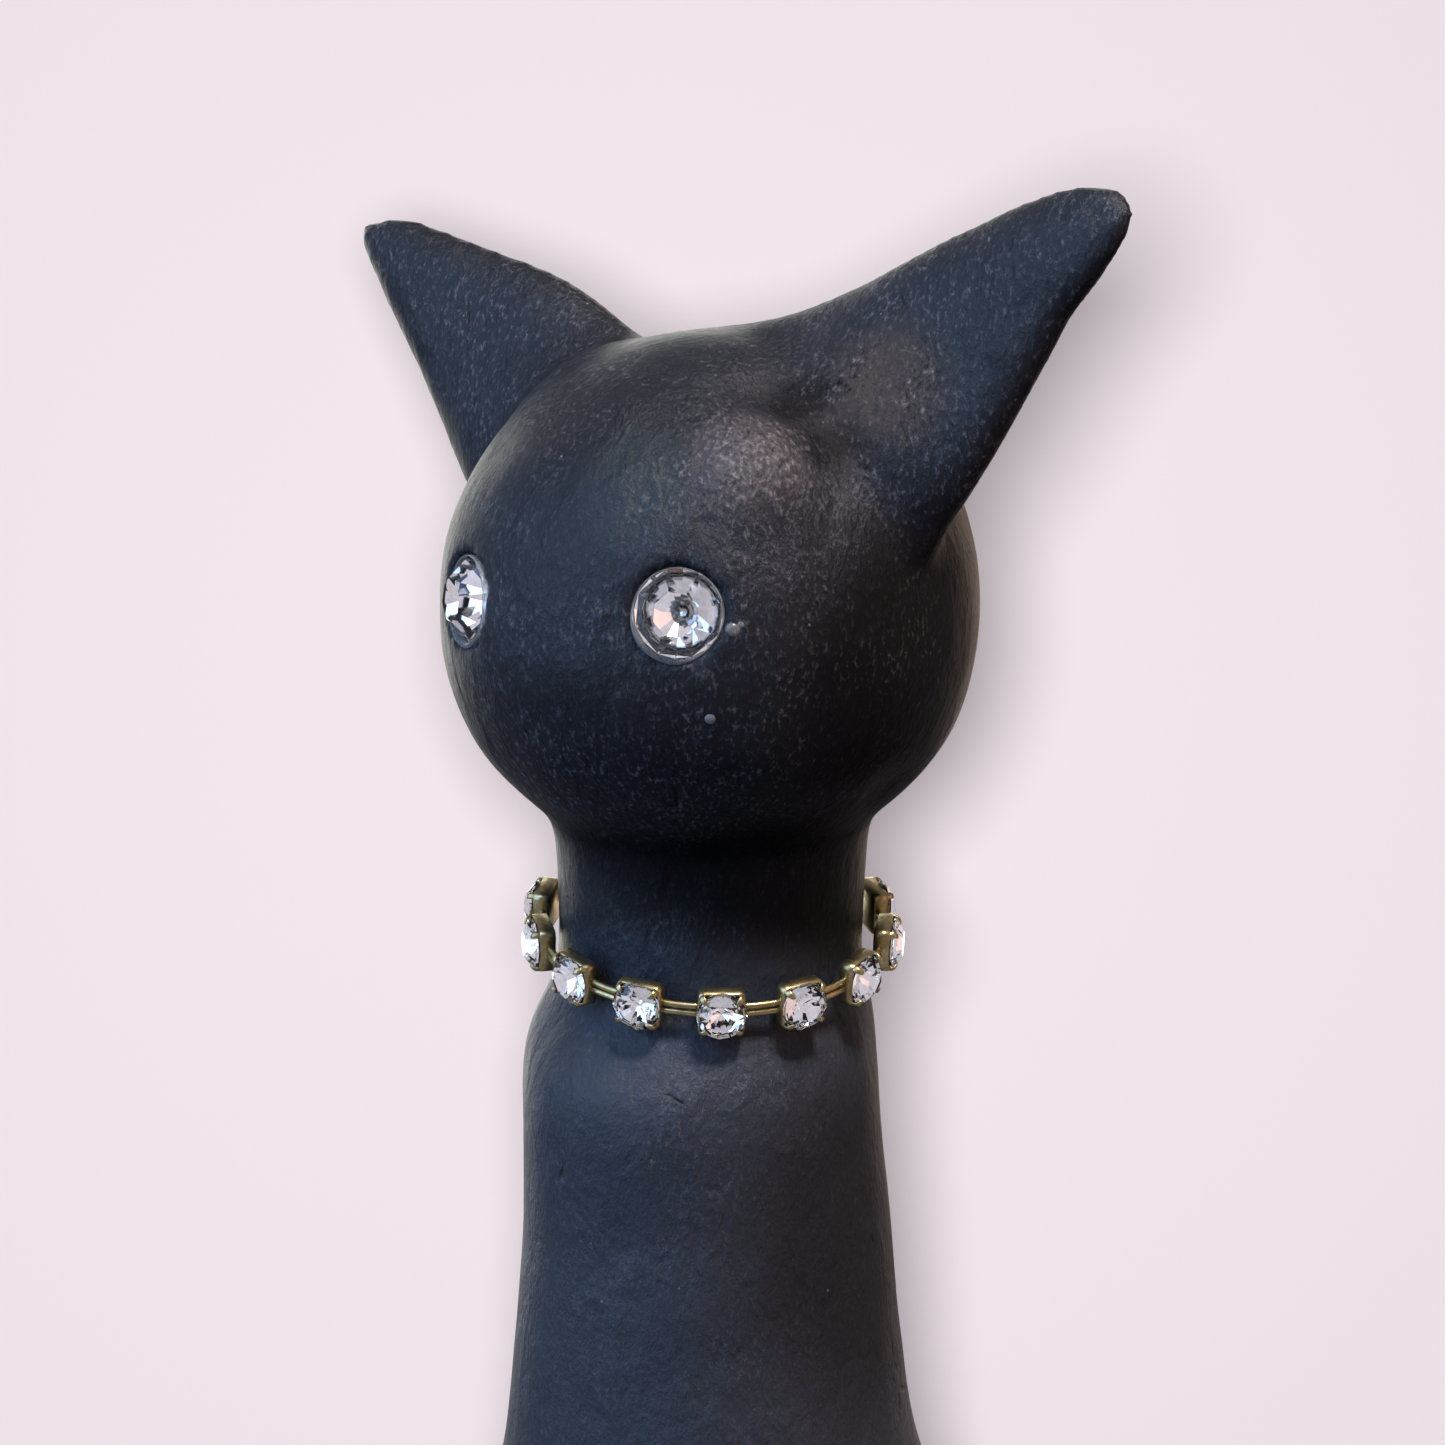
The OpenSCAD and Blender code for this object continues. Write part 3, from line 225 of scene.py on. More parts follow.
@dataclass(frozen=True)
class ThumbedClay(Finish):
    """Black air-drying clay smoothed by thumb: satin and grainy, with hairline cracks, dust, and
    patches of painted light and shade.
    """

    dark: str = "#0d0f13"
    soot: str = "#272a31"
    # Painted light: the lighter tone of the body below the collar
    body: str = "#363c45"
    fleck: str = "#55585d"
    dust: str = "#77746f"
    # Painted glints on the tops of the grain, and painted shade in the pits between them
    glint: str = "#8f8786"
    pit: str = "#07080a"
    crack: str = "#040507"
    # The body below the collar is painted lighter than the head: painted light on the chest, which
    # ends at the edge of the head's painted shadow on the neck
    collar_z_mm: float = 83.0
    mottle_mm: float = 8.0
    rub_mm: float = 22.0
    grain_mm: float = 0.5
    grain_depth_mm: float = 0.22
    stroke_mm: float = 3.0
    stroke_depth_mm: float = 0.5
    crack_mm: float = 14.0
    crack_depth_mm: float = 0.2
    # The uneven edge of the patches of painted light and shade, and the wander of cracks
    warp_mm: float = 6.0
    dust_mm: float = 3.2
    gloss: tuple[float, float] = (0.36, 0.48)
    # Where a thumb polished the brow: its place and reach, and the gloss it left there
    polish_at: tuple[float, float, float] = (15.4, -40.9, 133.9)
    polish_mm: float = 9.0
    polish_gloss: float = 0.33
    # Painted shadow of the head on the neck and jaw, painted shade on the left cheek, painted warm
    # shade on the left of the chest, painted shade on the crown, a painted highlight on the brow,
    # painted warm light on the root of the left ear, painted shade in the two hollows between them,
    # and a painted teal reflection on the forehead
    rubs: tuple[Rub, ...] = (
        Rub((2.7, -25.8, 97.5), 17.5, 22.0, "#05070b", 0.85, 0.3, 0.15),
        Rub((26.0, -30.0, 113.0), 8.0, 19.0, "#0a090b", 0.85, 0.5, 0.7),
        Rub((21.0, -24.0, 52.0), 12.0, 24.0, "#1f1917", 0.65, 0.4, 0.3),
        Rub((1.8, -44.5, 136.0), 5.0, 14.0, "#1a1e23", 0.7, 0.7, 1.2),
        Rub((15.4, -40.9, 133.4), 2.5, 7.5, "#4b4646", 0.8, 1.1, 2.8),
        Rub((22.0, -30.0, 139.3), 3.0, 9.5, "#463f3a", 0.95, 0.35, 2.8),
        Rub((14.3, -32.5, 137.8), 1.0, 5.2, "#0b0b0e", 0.9, 0.3, 0.8),
        Rub((19.2, -34.0, 133.9), 1.0, 4.5, "#0b0b0e", 0.8, 0.3, 0.8),
        Rub((7.0, -48.0, 130.0), 2.0, 8.0, "#233538", 0.5, 1.0, 1.2),
    )

    def draw(self, tree: bpy.types.NodeTree, shader: bpy.types.Node) -> None:
        """Draws mottled soot, rubbed gloss, streaky grain, sparse cracks and sparse dust.

        Args:
            tree: the material's node tree.
            shader: its Principled shader.
        """
        place = add_node(tree, "TexCoord").outputs["Object"]
        # The grain runs a little longer up and down, as a thumb drew it over the form
        streak = add_node(tree, "Mapping", {"Scale": (1.0, 1.0, 0.6)}, {"Vector": place}).outputs[0]
        noises = {
            "mottle": (self.mottle_mm, {"Detail": 5.0, "Roughness": 0.62}, place),
            "rub": (self.rub_mm, {"Detail": 3.0}, place),
            "grain": (self.grain_mm, {"Detail": 4.0, "Roughness": 0.7}, streak),
            "stroke": (self.stroke_mm, {"Detail": 2.0, "Distortion": 0.6}, streak),
        }
        grounds = {
            name: add_node(
                tree, "TexNoise", {"Scale": 1 / (size * MM), **settings}, {"Vector": source}
            ).outputs[0]
            for name, (size, settings, source) in noises.items()
        }
        grounds["place"] = place
        grounds["warped"] = add_node(
            tree,
            "VectorMath",
            {"operation": "MULTIPLY_ADD", 1: [self.warp_mm * MM] * 3},
            {0: grounds["rub"], 2: place},
        ).outputs[0]
        grounds["hairline"] = self.draw_hairline(tree, grounds)
        away = add_node(
            tree,
            "VectorMath",
            {"operation": "DISTANCE", 1: [c * MM for c in self.polish_at]},
            {0: place},
        ).outputs["Value"]
        grounds["polish"] = add_node(
            tree,
            "MapRange",
            {"interpolation_type": "SMOOTHSTEP", 1: 0.0, 2: self.polish_mm * MM, 3: 1.0, 4: 0.0},
            {0: away},
        ).outputs[0]
        colour, sheen = self.draw_colour(tree, grounds)
        rubbed = add_node(
            tree,
            "MapRange",
            {1: 0.3, 2: 0.7, 3: self.gloss[0], 4: self.gloss[1]},
            {0: grounds["rub"]},
        ).outputs[0]
        gloss = add_node(
            tree,
            "Mix",
            {"data_type": "FLOAT", 3: self.polish_gloss},
            {0: grounds["polish"], 2: rubbed},
        ).outputs[0]
        tree.links.new(colour, shader.inputs["Base Color"])
        tree.links.new(gloss, shader.inputs["Roughness"])
        tree.links.new(self.draw_relief(tree, grounds), shader.inputs["Normal"])
        tree.links.new(sheen, shader.inputs["Specular IOR Level"])

    def draw_hairline(
        self, tree: bpy.types.NodeTree, grounds: dict[str, bpy.types.NodeSocket]
    ) -> bpy.types.NodeSocket:
        """Draws hairline cracks, which open only where the clay is driest.

        Args:
            tree: the material's node tree.
            grounds: noises and places by name.

        Returns:
            1 in a crack and 0 beside it.
        """
        crack = add_node(
            tree,
            "TexVoronoi",
            {"feature": "DISTANCE_TO_EDGE", "Scale": 1 / (self.crack_mm * MM)},
            {"Vector": grounds["warped"]},
        ).outputs[0]
        line = add_node(
            tree, "MapRange", {1: 0.006, 2: 0.018, 3: 1.0, 4: 0.0}, {0: crack}
        ).outputs[0]
        dry = add_node(tree, "MapRange", {1: 0.6, 2: 0.66}, {0: grounds["mottle"]}).outputs[0]
        return add_node(tree, "Math", {"operation": "MULTIPLY"}, {0: line, 1: dry}).outputs[0]

    def draw_colour(
        self, tree: bpy.types.NodeTree, grounds: dict[str, bpy.types.NodeSocket]
    ) -> tuple[bpy.types.NodeSocket, bpy.types.NodeSocket]:
        """Draws the clay's colour and sheen, from soot through painted light and shade and grain to
        cracks and dust.

        Args:
            tree: the material's node tree.
            grounds: noises and places by name.

        Returns:
            The colour and the sheen.
        """
        mottle, grain = grounds["mottle"], grounds["grain"]
        soot = add_node(
            tree,
            "Mix",
            {"data_type": "RGBA", 6: linear(self.dark), 7: linear(self.soot)},
            {0: mottle},
        ).outputs[2]
        height = add_node(tree, "SeparateXYZ", None, {0: grounds["place"]}).outputs["Z"]
        below = add_node(
            tree,
            "MapRange",
            {1: (self.collar_z_mm - 3) * MM, 2: (self.collar_z_mm + 3) * MM, 3: 0.85, 4: 0.0},
            {0: height},
        ).outputs[0]
        # The grain stands out in patches, where the clay dried before it was smoothed
        patchy = add_node(
            tree, "MapRange", {1: 0.4, 2: 0.6, 3: 0.2, 4: 0.8}, {0: mottle}
        ).outputs[0]
        flecks = add_node(tree, "MapRange", {1: 0.52, 2: 0.74}, {0: grain}).outputs[0]
        shown = add_node(tree, "Math", {"operation": "MULTIPLY"}, {0: flecks, 1: patchy}).outputs[0]
        # Faces that point down get less gloss, which darkens the underside of the jaw and chin as
        # painted shade
        facing = add_node(tree, "NewGeometry").outputs["Normal"]
        tipped = add_node(tree, "SeparateXYZ", None, {0: facing}).outputs["Z"]
        sheen = add_node(
            tree, "MapRange", {1: -0.45, 2: 0.05, 3: 0.06, 4: 0.35}, {0: tipped}
        ).outputs[0]
        # Below the collar the clay was smoothed wet, so little grain is left there
        rough = add_node(
            tree, "Math", {"operation": "MULTIPLY_ADD", 1: -0.6}, {0: below, 2: patchy}
        ).outputs[0]
        # The lighter tone below the collar is painted light on the chest
        colour = soot
        for share, tone in ((below, self.body), (shown, self.fleck)):
            colour = add_node(
                tree, "Mix", {"data_type": "RGBA", 7: linear(tone)}, {0: share, 6: colour}
            ).outputs[2]
        # Patches of painted light and shade: each mixes its tone in, and takes off some gloss and
        # grain
        for mark in self.rubs:
            off = add_node(
                tree,
                "VectorMath",
                {"operation": "DISTANCE", 1: [(c + self.warp_mm / 2) * MM for c in mark.at]},
                {0: grounds["warped"]},
            ).outputs["Value"]
            reach = {1: mark.core_mm * MM, 2: mark.reach_mm * MM, 3: mark.cover, 4: 0.0}
            patch_share = add_node(
                tree, "MapRange", {"interpolation_type": "SMOOTHSTEP", **reach}, {0: off}
            ).outputs[0]
            colour = add_node(
                tree, "Mix", {"data_type": "RGBA", 7: linear(mark.tone)}, {0: patch_share, 6: colour}
            ).outputs[2]
            left = add_node(tree, "MapRange", {3: 1.0, 4: mark.sheen}, {0: patch_share}).outputs[0]
            sheen = add_node(
                tree, "Math", {"operation": "MULTIPLY"}, {0: sheen, 1: left}
            ).outputs[0]
            kept = add_node(tree, "MapRange", {3: 1.0, 4: mark.grain}, {0: patch_share}).outputs[0]
            rough = add_node(
                tree, "Math", {"operation": "MULTIPLY"}, {0: rough, 1: kept}
            ).outputs[0]
        # Painted shade darkens the pits between the grains, and painted glints make the tops of the
        # grains pale
        pits = add_node(tree, "MapRange", {1: 0.3, 2: 0.5, 3: 0.85, 4: 0.0}, {0: grain}).outputs[0]
        pale = add_node(tree, "MapRange", {1: 0.56, 2: 0.8, 3: 0.0, 4: 0.7}, {0: grain}).outputs[0]
        pit_shade, grain_glints = (
            add_node(
                tree, "Math", {"operation": "MULTIPLY", "use_clamp": True}, {0: part, 1: rough}
            ).outputs[0]
            for part in (pits, pale)
        )
        # On the polished brow the tops of the grains get painted glints
        glint = add_node(
            tree, "Math", {"operation": "MULTIPLY"}, {0: flecks, 1: grounds["polish"]}
        ).outputs[0]
        specks = add_node(
            tree, "TexVoronoi", {"Scale": 1 / (self.dust_mm * MM)}, {"Vector": grounds["place"]}
        ).outputs
        spot = add_node(
            tree, "MapRange", {1: 0.025, 2: 0.05, 3: 1.0, 4: 0.0}, {0: specks["Distance"]}
        ).outputs[0]
        chosen = add_node(
            tree, "Math", {"operation": "GREATER_THAN", 1: 0.62}, {0: specks["Color"]}
        ).outputs[0]
        dust = add_node(tree, "Math", {"operation": "MULTIPLY"}, {0: spot, 1: chosen}).outputs[0]
        layers = (
            (pit_shade, self.pit),
            (grain_glints, self.glint),
            (glint, self.glint),
            (grounds["hairline"], self.crack),
            (dust, self.dust),
        )
        for share, tone in layers:
            colour = add_node(
                tree, "Mix", {"data_type": "RGBA", 7: linear(tone)}, {0: share, 6: colour}
            ).outputs[2]
        return colour, sheen

    def draw_relief(
        self, tree: bpy.types.NodeTree, grounds: dict[str, bpy.types.NodeSocket]
    ) -> bpy.types.NodeSocket:
        """Draws the relief: thumb strokes, then grain, then cracks.

        Args:
            tree: the material's node tree.
            grounds: noises and places by name.

        Returns:
            The normal.
        """
        stroked = add_node(
            tree,
            "Bump",
            {"Strength": 1.0, "Distance": self.stroke_depth_mm * MM},
            {"Height": grounds["stroke"]},
        ).outputs[0]
        grainy = add_node(
            tree,
            "Bump",
            {"Strength": 1.0, "Distance": self.grain_depth_mm * MM},
            {"Height": grounds["grain"], "Normal": stroked},
        ).outputs[0]
        return add_node(
            tree,
            "Bump",
            {"Strength": 0.5, "Distance": self.crack_depth_mm * MM, "invert": True},
            {"Height": grounds["hairline"], "Normal": grainy},
        ).outputs[0]


class Surface(Enum):
    """The finishes of the clock, each named for the real material."""

    # Air-drying clay smoothed by thumb: near black and satin, with a dusty grain
    CLAY = ThumbedClay("thumbed_black_clay")
    # Gilt brass of the cup chain: pale yellow, bright on edges, browner where it has dulled
    GILT = Mottled(
        "dulled_gilt_brass", "#dccd9c", "#a89762", 0.9, (0.24, 0.44), 0.12, 0.004,
        sockets=(("Metallic", 1.0),),
    )
    # Turned and lacquered brass of the dial: even, warmer, soft highlights
    BRASS = Mottled(
        "lacquered_turned_brass", "#c6a055", "#a5803c", 5.0, (0.22, 0.34), 0.2, 0.004,
        sockets=(("Metallic", 1.0), ("Coat Weight", 0.25)),
    )
    # Lead-free crystal, machine cut: clear, sharp facets, the odd smudge
    CRYSTAL = Mottled(
        "machine_cut_crystal", "#ffffff", "#f4f7fa", 2.0, (0.0, 0.03), 0.6, 0.0,
        sockets=(("Transmission Weight", 1.0), ("IOR", 1.56)),
    )
    # Silver foil behind a chaton: a bright mirror, a little uneven
    FOIL = Mottled(
        "silver_foil_backing", "#eceef0", "#d3d7db", 1.6, (0.03, 0.07), 0.5, 0.0,
        sockets=(("Metallic", 1.0),),
    )
    # Cured clear glue: glassy bead, slightly clouded
    GLUE = Mottled(
        "cured_clear_glue", "#e9eae6", "#c9ccc9", 1.0, (0.12, 0.3), 0.5, 0.03,
        sockets=(("Transmission Weight", 0.8), ("IOR", 1.47)),
    )
    # Old glue that took up dust: a matt grey dot
    GREY_GLUE = Mottled("dusty_glue", "#8d9092", "#6d7072", 0.8, (0.35, 0.55), 0.3, 0.03)
    # Fired enamel: ivory, glossy, faintly clouded
    ENAMEL = Mottled(
        "ivory_enamel", "#efe8d6", "#e4dac3", 7.0, (0.18, 0.3), 0.8, 0.006,
        sockets=(("Coat Weight", 0.3),),
    )
    # Screen ink on the dial: dense black, dull
    INK = Mottled("dial_ink", "#1a1918", "#262422", 0.8, (0.45, 0.6), 0.15, 0.004)
    # Ground mineral glass: clear, with a hard even gloss
    GLASS = Mottled(
        "mineral_watch_glass", "#ffffff", "#f6fafa", 9.0, (0.0, 0.02), 2.0, 0.0,
        sockets=(("Transmission Weight", 1.0), ("IOR", 1.5)),
    )
    # Moulded ABS: black, fine spark-eroded grain
    ABS = Mottled("moulded_black_abs", "#17181a", "#1f2022", 6.0, (0.42, 0.55), 0.3, 0.02)
    # Moulded acetal: cream, waxy
    ACETAL = Mottled(
        "moulded_cream_acetal", "#e6dfcb", "#d8cfb8", 4.0, (0.35, 0.48), 0.4, 0.01,
        sockets=(("Subsurface Weight", 0.1), ("Subsurface Scale", 0.001)),
    )
    # Zinc-plated steel: cool grey with a faint rolling grain
    STEEL = Mottled(
        "zinc_plated_steel", "#b4b7bb", "#8f9398", 1.6, (0.26, 0.44), 0.25, 0.006,
        stretch=(0.25, 1.0, 1.0), sockets=(("Metallic", 1.0),),
    )
    # Moulded soft rubber: dull black
    RUBBER = Mottled("soft_black_rubber", "#1b1b1c", "#262627", 1.5, (0.7, 0.85), 0.25, 0.03)
    # Glass-epoxy board: green, with its weave showing as a faint mottle
    BOARD = Mottled("green_glass_epoxy", "#2f6a45", "#1f4a30", 1.2, (0.3, 0.5), 0.3, 0.02)
    # Wound enamelled wire: red-brown, shining in lines along the winding
    COPPER = Mottled(
        "enamelled_copper_wire", "#b5652f", "#7f3f1b", 0.3, (0.25, 0.4), 0.12, 0.03,
        stretch=(4.0, 0.1, 0.1), sockets=(("Metallic", 1.0),),
    )
    # Shrink sleeve of the cell: slate blue, glossy film
    SLEEVE = Mottled("slate_shrink_sleeve", "#3b4a5c", "#334052", 6.0, (0.2, 0.32), 1.0, 0.01)
    # The same film as a pale band at the button end
    BAND = Mottled("pale_shrink_sleeve", "#d9d5c8", "#cac5b6", 6.0, (0.2, 0.32), 1.0, 0.01)
    # Planed beech: pale brown with long fine pores
    BEECH = Mottled(
        "plain_beech", "#c9a878", "#a98557", 1.2, (0.5, 0.65), 0.3, 0.03, stretch=(1.0, 1.0, 0.08)
    )


# Solids that show as they are packed, each in its own finish
CAD_FINISHES: dict[str, Surface] = {
    "neck_dowel": Surface.BEECH,
    "hanger_block": Surface.BEECH,
    "dial_plate": Surface.ENAMEL,
    "mounting_washer": Surface.BRASS,
    "centre_bushing": Surface.BRASS,
    "rubber_washer": Surface.RUBBER,
    "middle_plate": Surface.ACETAL,
    "circuit_board": Surface.BOARD,
    "stator": Surface.STEEL,
    "motor_coil": Surface.COPPER,
    "rotor": Surface.STEEL,
    "fifth_wheel": Surface.ACETAL,
    "second_wheel": Surface.ACETAL,
    "third_wheel": Surface.ACETAL,
    "centre_wheel": Surface.ACETAL,
    "minute_arbor": Surface.STEEL,
    "motion_wheel": Surface.ACETAL,
    "hour_wheel": Surface.ACETAL,
    "contact_plus": Surface.STEEL,
    "contact_minus": Surface.STEEL,
    "pivot_pin": Surface.STEEL,
    "tail_lever": Surface.ACETAL,
    "tail_magnet": Surface.STEEL,
    "drive_coil": Surface.COPPER,
    "tail_rod": Surface.BRASS,
}


def around(count: int) -> list[float]:
    """Returns evenly spaced angles, once around from 0."""
    return [2 * math.pi * k / count for k in range(count)]


def quarter_round(at: tuple[float, float], wide: float, high: float, steps: int) -> Outline:
    """Returns the rise of a dome or lip as radius and height, without its last point.

    Args:
        at: radius and height of the middle of the rounding.
        wide: its reach outwards.
        high: its reach upwards.
        steps: points.

    Returns:
        Points from the side to just short of the top.
    """
    bends = [math.pi / 2 * k / steps for k in range(steps)]
    return [(at[0] + wide * math.cos(t), at[1] + high * math.sin(t)) for t in bends]


def add_object(name: str, data: bpy.types.ID) -> bpy.types.Object:
    """Makes an object and puts it into the scene.

    Args:
        name: the object's name.
        data: its mesh, text, light or camera.

    Returns:
        The object.
    """
    made = bpy.data.objects.new(name, data)
    bpy.context.scene.collection.objects.link(made)
    return made


def dress(mesh: bpy.types.Mesh, *surfaces: Surface) -> None:
    """Gives a mesh these finishes and no others.

    Args:
        mesh: the mesh.
        surfaces: finishes by number.
    """
    mesh.materials.clear()
    for surface in surfaces:
        mesh.materials.append(surface.value.material())


@dataclass
class Shape:
    """Points in millimetres and faces, gathered bit by bit, with a finish number on each face."""

    points: list[Vector] = field(default_factory=list)
    faces: list[tuple[int, ...]] = field(default_factory=list)
    marks: list[int] = field(default_factory=list)

    def add(
        self,
        points: Iterable[Point],
        faces: Iterable[Sequence[int]],
        frame: Matrix | None = None,
        mark: int = 0,
    ) -> None:
        """Adds points and faces.

        Args:
            points: places in the frame's own axes.
            faces: point numbers, counted from 0 within these points.
            frame: where those axes stand; the part's own frame if left out.
            mark: number of the finish on these faces.
        """
        first = len(self.points)
        frame = frame or Matrix.Identity(4)
        self.points.extend(frame @ Vector(p) for p in points)
        for face in faces:
            self.faces.append(tuple(first + i for i in face))
            self.marks.append(mark)

    def loft(
        self,
        rings: Sequence[Sequence[Point]],
        frame: Matrix | None = None,
        mark: int = 0,
        looped: bool = False,
    ) -> None:
        """Adds a skin over closed rings, with flat ends unless the rings form a loop.

        Args:
            rings: points of each ring, all of one count.
            frame: where the rings' axes stand.
            mark: number of the finish.
            looped: True where the last ring joins the first.
        """
        count, sides = len(rings), len(rings[0])
        last = count if looped else count - 1
        faces: list[Sequence[int]] = [
            (
                i * sides + j,
                i * sides + (j + 1) % sides,
                (i + 1) % count * sides + (j + 1) % sides,
                (i + 1) % count * sides + j,
            )
            for i in range(last)
            for j in range(sides)
        ]
        if not looped:
            faces.append(tuple(reversed(range(sides))))
            faces.append(tuple((count - 1) * sides + j for j in range(sides)))
        self.add([p for ring in rings for p in ring], faces, frame, mark)

    def lathe(
        self,
        profile: Sequence[tuple[float, float]],
        sides: int,
        frame: Matrix | None = None,
        mark: int = 0,
        looped: bool = False,
    ) -> None:
        """Adds a turned form.

        Args:
            profile: radius and height along the frame's z, from low to high.
            sides: points around.
            frame: where the axis stands.
            mark: number of the finish.
            looped: True where the profile closes on itself, as in a ring.
        """
        rings = [
            [(r * math.cos(t), r * math.sin(t), h) for t in around(sides)] for r, h in profile
        ]
        self.loft(rings, frame, mark, looped)

    def tube(self, path: Sequence[Point], radius: float, sides: int) -> None:
        """Adds a round wire along a path.

        Args:
            path: points of its middle line.
            radius: radius of the wire.
            sides: points around.
        """
        line = [Vector(p) for p in path]
        rings = []
        side = (line[1] - line[0]).orthogonal().normalized()
        for i, at in enumerate(line):
            ahead = (line[min(i + 1, len(line) - 1)] - line[max(i - 1, 0)]).normalized()
            side = (side - ahead * side.dot(ahead)).normalized()
            other = ahead.cross(side)
            rings.append(
                [
                    at + radius * (side * math.cos(t) + other * math.sin(t))
                    for t in around(sides)
                ]
            )
        self.loft(rings)

    def prism(
        self, outline: Sequence[tuple[float, float]], low: float, high: float, frame: Matrix
    ) -> None:
        """Adds an outline raised from low to high along the frame's z."""
        self.loft([[(x, y, z) for x, y in outline] for z in (low, high)], frame)

    def piece(self, name: str, *surfaces: Surface, smooth: bool = True) -> bpy.types.Object:
        """Makes the Blender object.

        Args:
            name: name of the piece.
            surfaces: finishes by mark.
            smooth: True for smooth shading.

        Returns:
            The object, in metres.
        """
        mesh = bpy.data.meshes.new(name)
        mesh.from_pydata([p * MM for p in self.points], [], self.faces)
        dress(mesh, *surfaces)
        mesh.polygons.foreach_set("material_index", self.marks)
        mesh.polygons.foreach_set("use_smooth", [smooth] * len(self.faces))
        mesh.update()
        return add_object(name, mesh)


def settle(made: bpy.types.Object, body: str, slot: str, *nodes: str) -> None:
    """Puts a piece on its body, hides the solids it stands for, and reports it.

    Args:
        made: the piece.
        body: the CAD body it rides on.
        slot: the record's material slot; not used.
        nodes: CAD nodes that it replaces.
    """
    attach(made, body)
    if nodes:
        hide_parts(*nodes)
    LOG.info("%s rides on %s, %d faces", made.name, body, len(made.data.polygons))


def applied(made: bpy.types.Object) -> None:
    """Puts the result of an object's modifiers into its mesh.

    Args:
        made: the object.
    """
    graph = bpy.context.evaluated_depsgraph_get()
    old = made.data
    made.data = bpy.data.meshes.new_from_object(made.evaluated_get(graph))
    made.data.name = made.name
    made.modifiers.clear()
    bpy.data.meshes.remove(old)


def crease(made: bpy.types.Object, angle_deg: float, bevel_mm: float, steps: int = 2) -> None:
    """Rounds the sharp edges of a piece.

    Args:
        made: the piece.
        angle_deg: edges sharper than this are rounded.
        bevel_mm: width of the rounding.
        steps: faces across the rounding.
    """
    bevel = made.modifiers.new("rounding", "BEVEL")
    bevel.width = bevel_mm * MM
    bevel.segments = steps
    bevel.limit_method = "ANGLE"
    bevel.angle_limit = math.radians(angle_deg)
    bevel.harden_normals = True
    even = made.modifiers.new("even_light", "WEIGHTED_NORMAL")
    even.weight = 100
    even.keep_sharp = True
    applied(made)


def rounded_outline(
    half_x: float, low: float, high: float, radius: float, steps: int = 6
) -> Outline:
    """Draws a rectangle with round corners, counter-clockwise.

    Args:
        half_x: half its width.
        low: its lower edge.
        high: its upper edge.
        radius: radius of the corners.
        steps: edges in each corner.

    Returns:
        The outline's points.
    """
    corners = ((half_x, low, -90), (half_x, high, 0), (-half_x, high, 90), (-half_x, low, 180))
    outline = []
    for x, y, start in corners:
        cx = x - math.copysign(radius, x)
        cy = y + radius if y == low else y - radius
        for k in range(steps + 1):
            t = math.radians(start + 90 * k / steps)
            outline.append((cx + radius * math.cos(t), cy + radius * math.sin(t)))
    return outline


def circle(radius: float, x: float, y: float, sides: int) -> Outline:
    """Returns a round outline, counter-clockwise."""
    return [(x + radius * math.cos(t), y + radius * math.sin(t)) for t in around(sides)]


# The movement's frame: x right, y up from the shaft, z forwards from the front of its case
SHAFT = Vector((0.0, -36.0, -43.0))
MOVEMENT = Matrix.Translation(SHAFT) @ Matrix.Rotation(math.pi / 2, 4, "X")
# The wall's frame: x left, y up, z out of the figure towards the wall
WALL = Matrix.Rotation(math.pi, 4, "Z") @ Matrix.Rotation(math.pi / 2, 4, "X")
HEAD_CENTRE = Vector((0.0, -28.0, 115.7))
HEAD_R = 26.6
HEAD_TILT_DEG = 5.0
# Underside of the clay body, above the tail
UNDERSIDE_Z = -89.0
HEAD = Matrix.Translation(HEAD_CENTRE) @ Matrix.Rotation(-math.radians(HEAD_TILT_DEG), 4, "Y")


def bearing(turn_deg: float, rise_deg: float) -> Vector:
    """Finds a direction.

    Args:
        turn_deg: turn from straight ahead towards the left ear.
        rise_deg: rise above level.

    Returns:
        The direction, of length 1.
    """
    turn, rise = math.radians(turn_deg), math.radians(rise_deg)
    return Vector(
        (math.sin(turn) * math.cos(rise), -math.cos(turn) * math.cos(rise), math.sin(rise))
    )


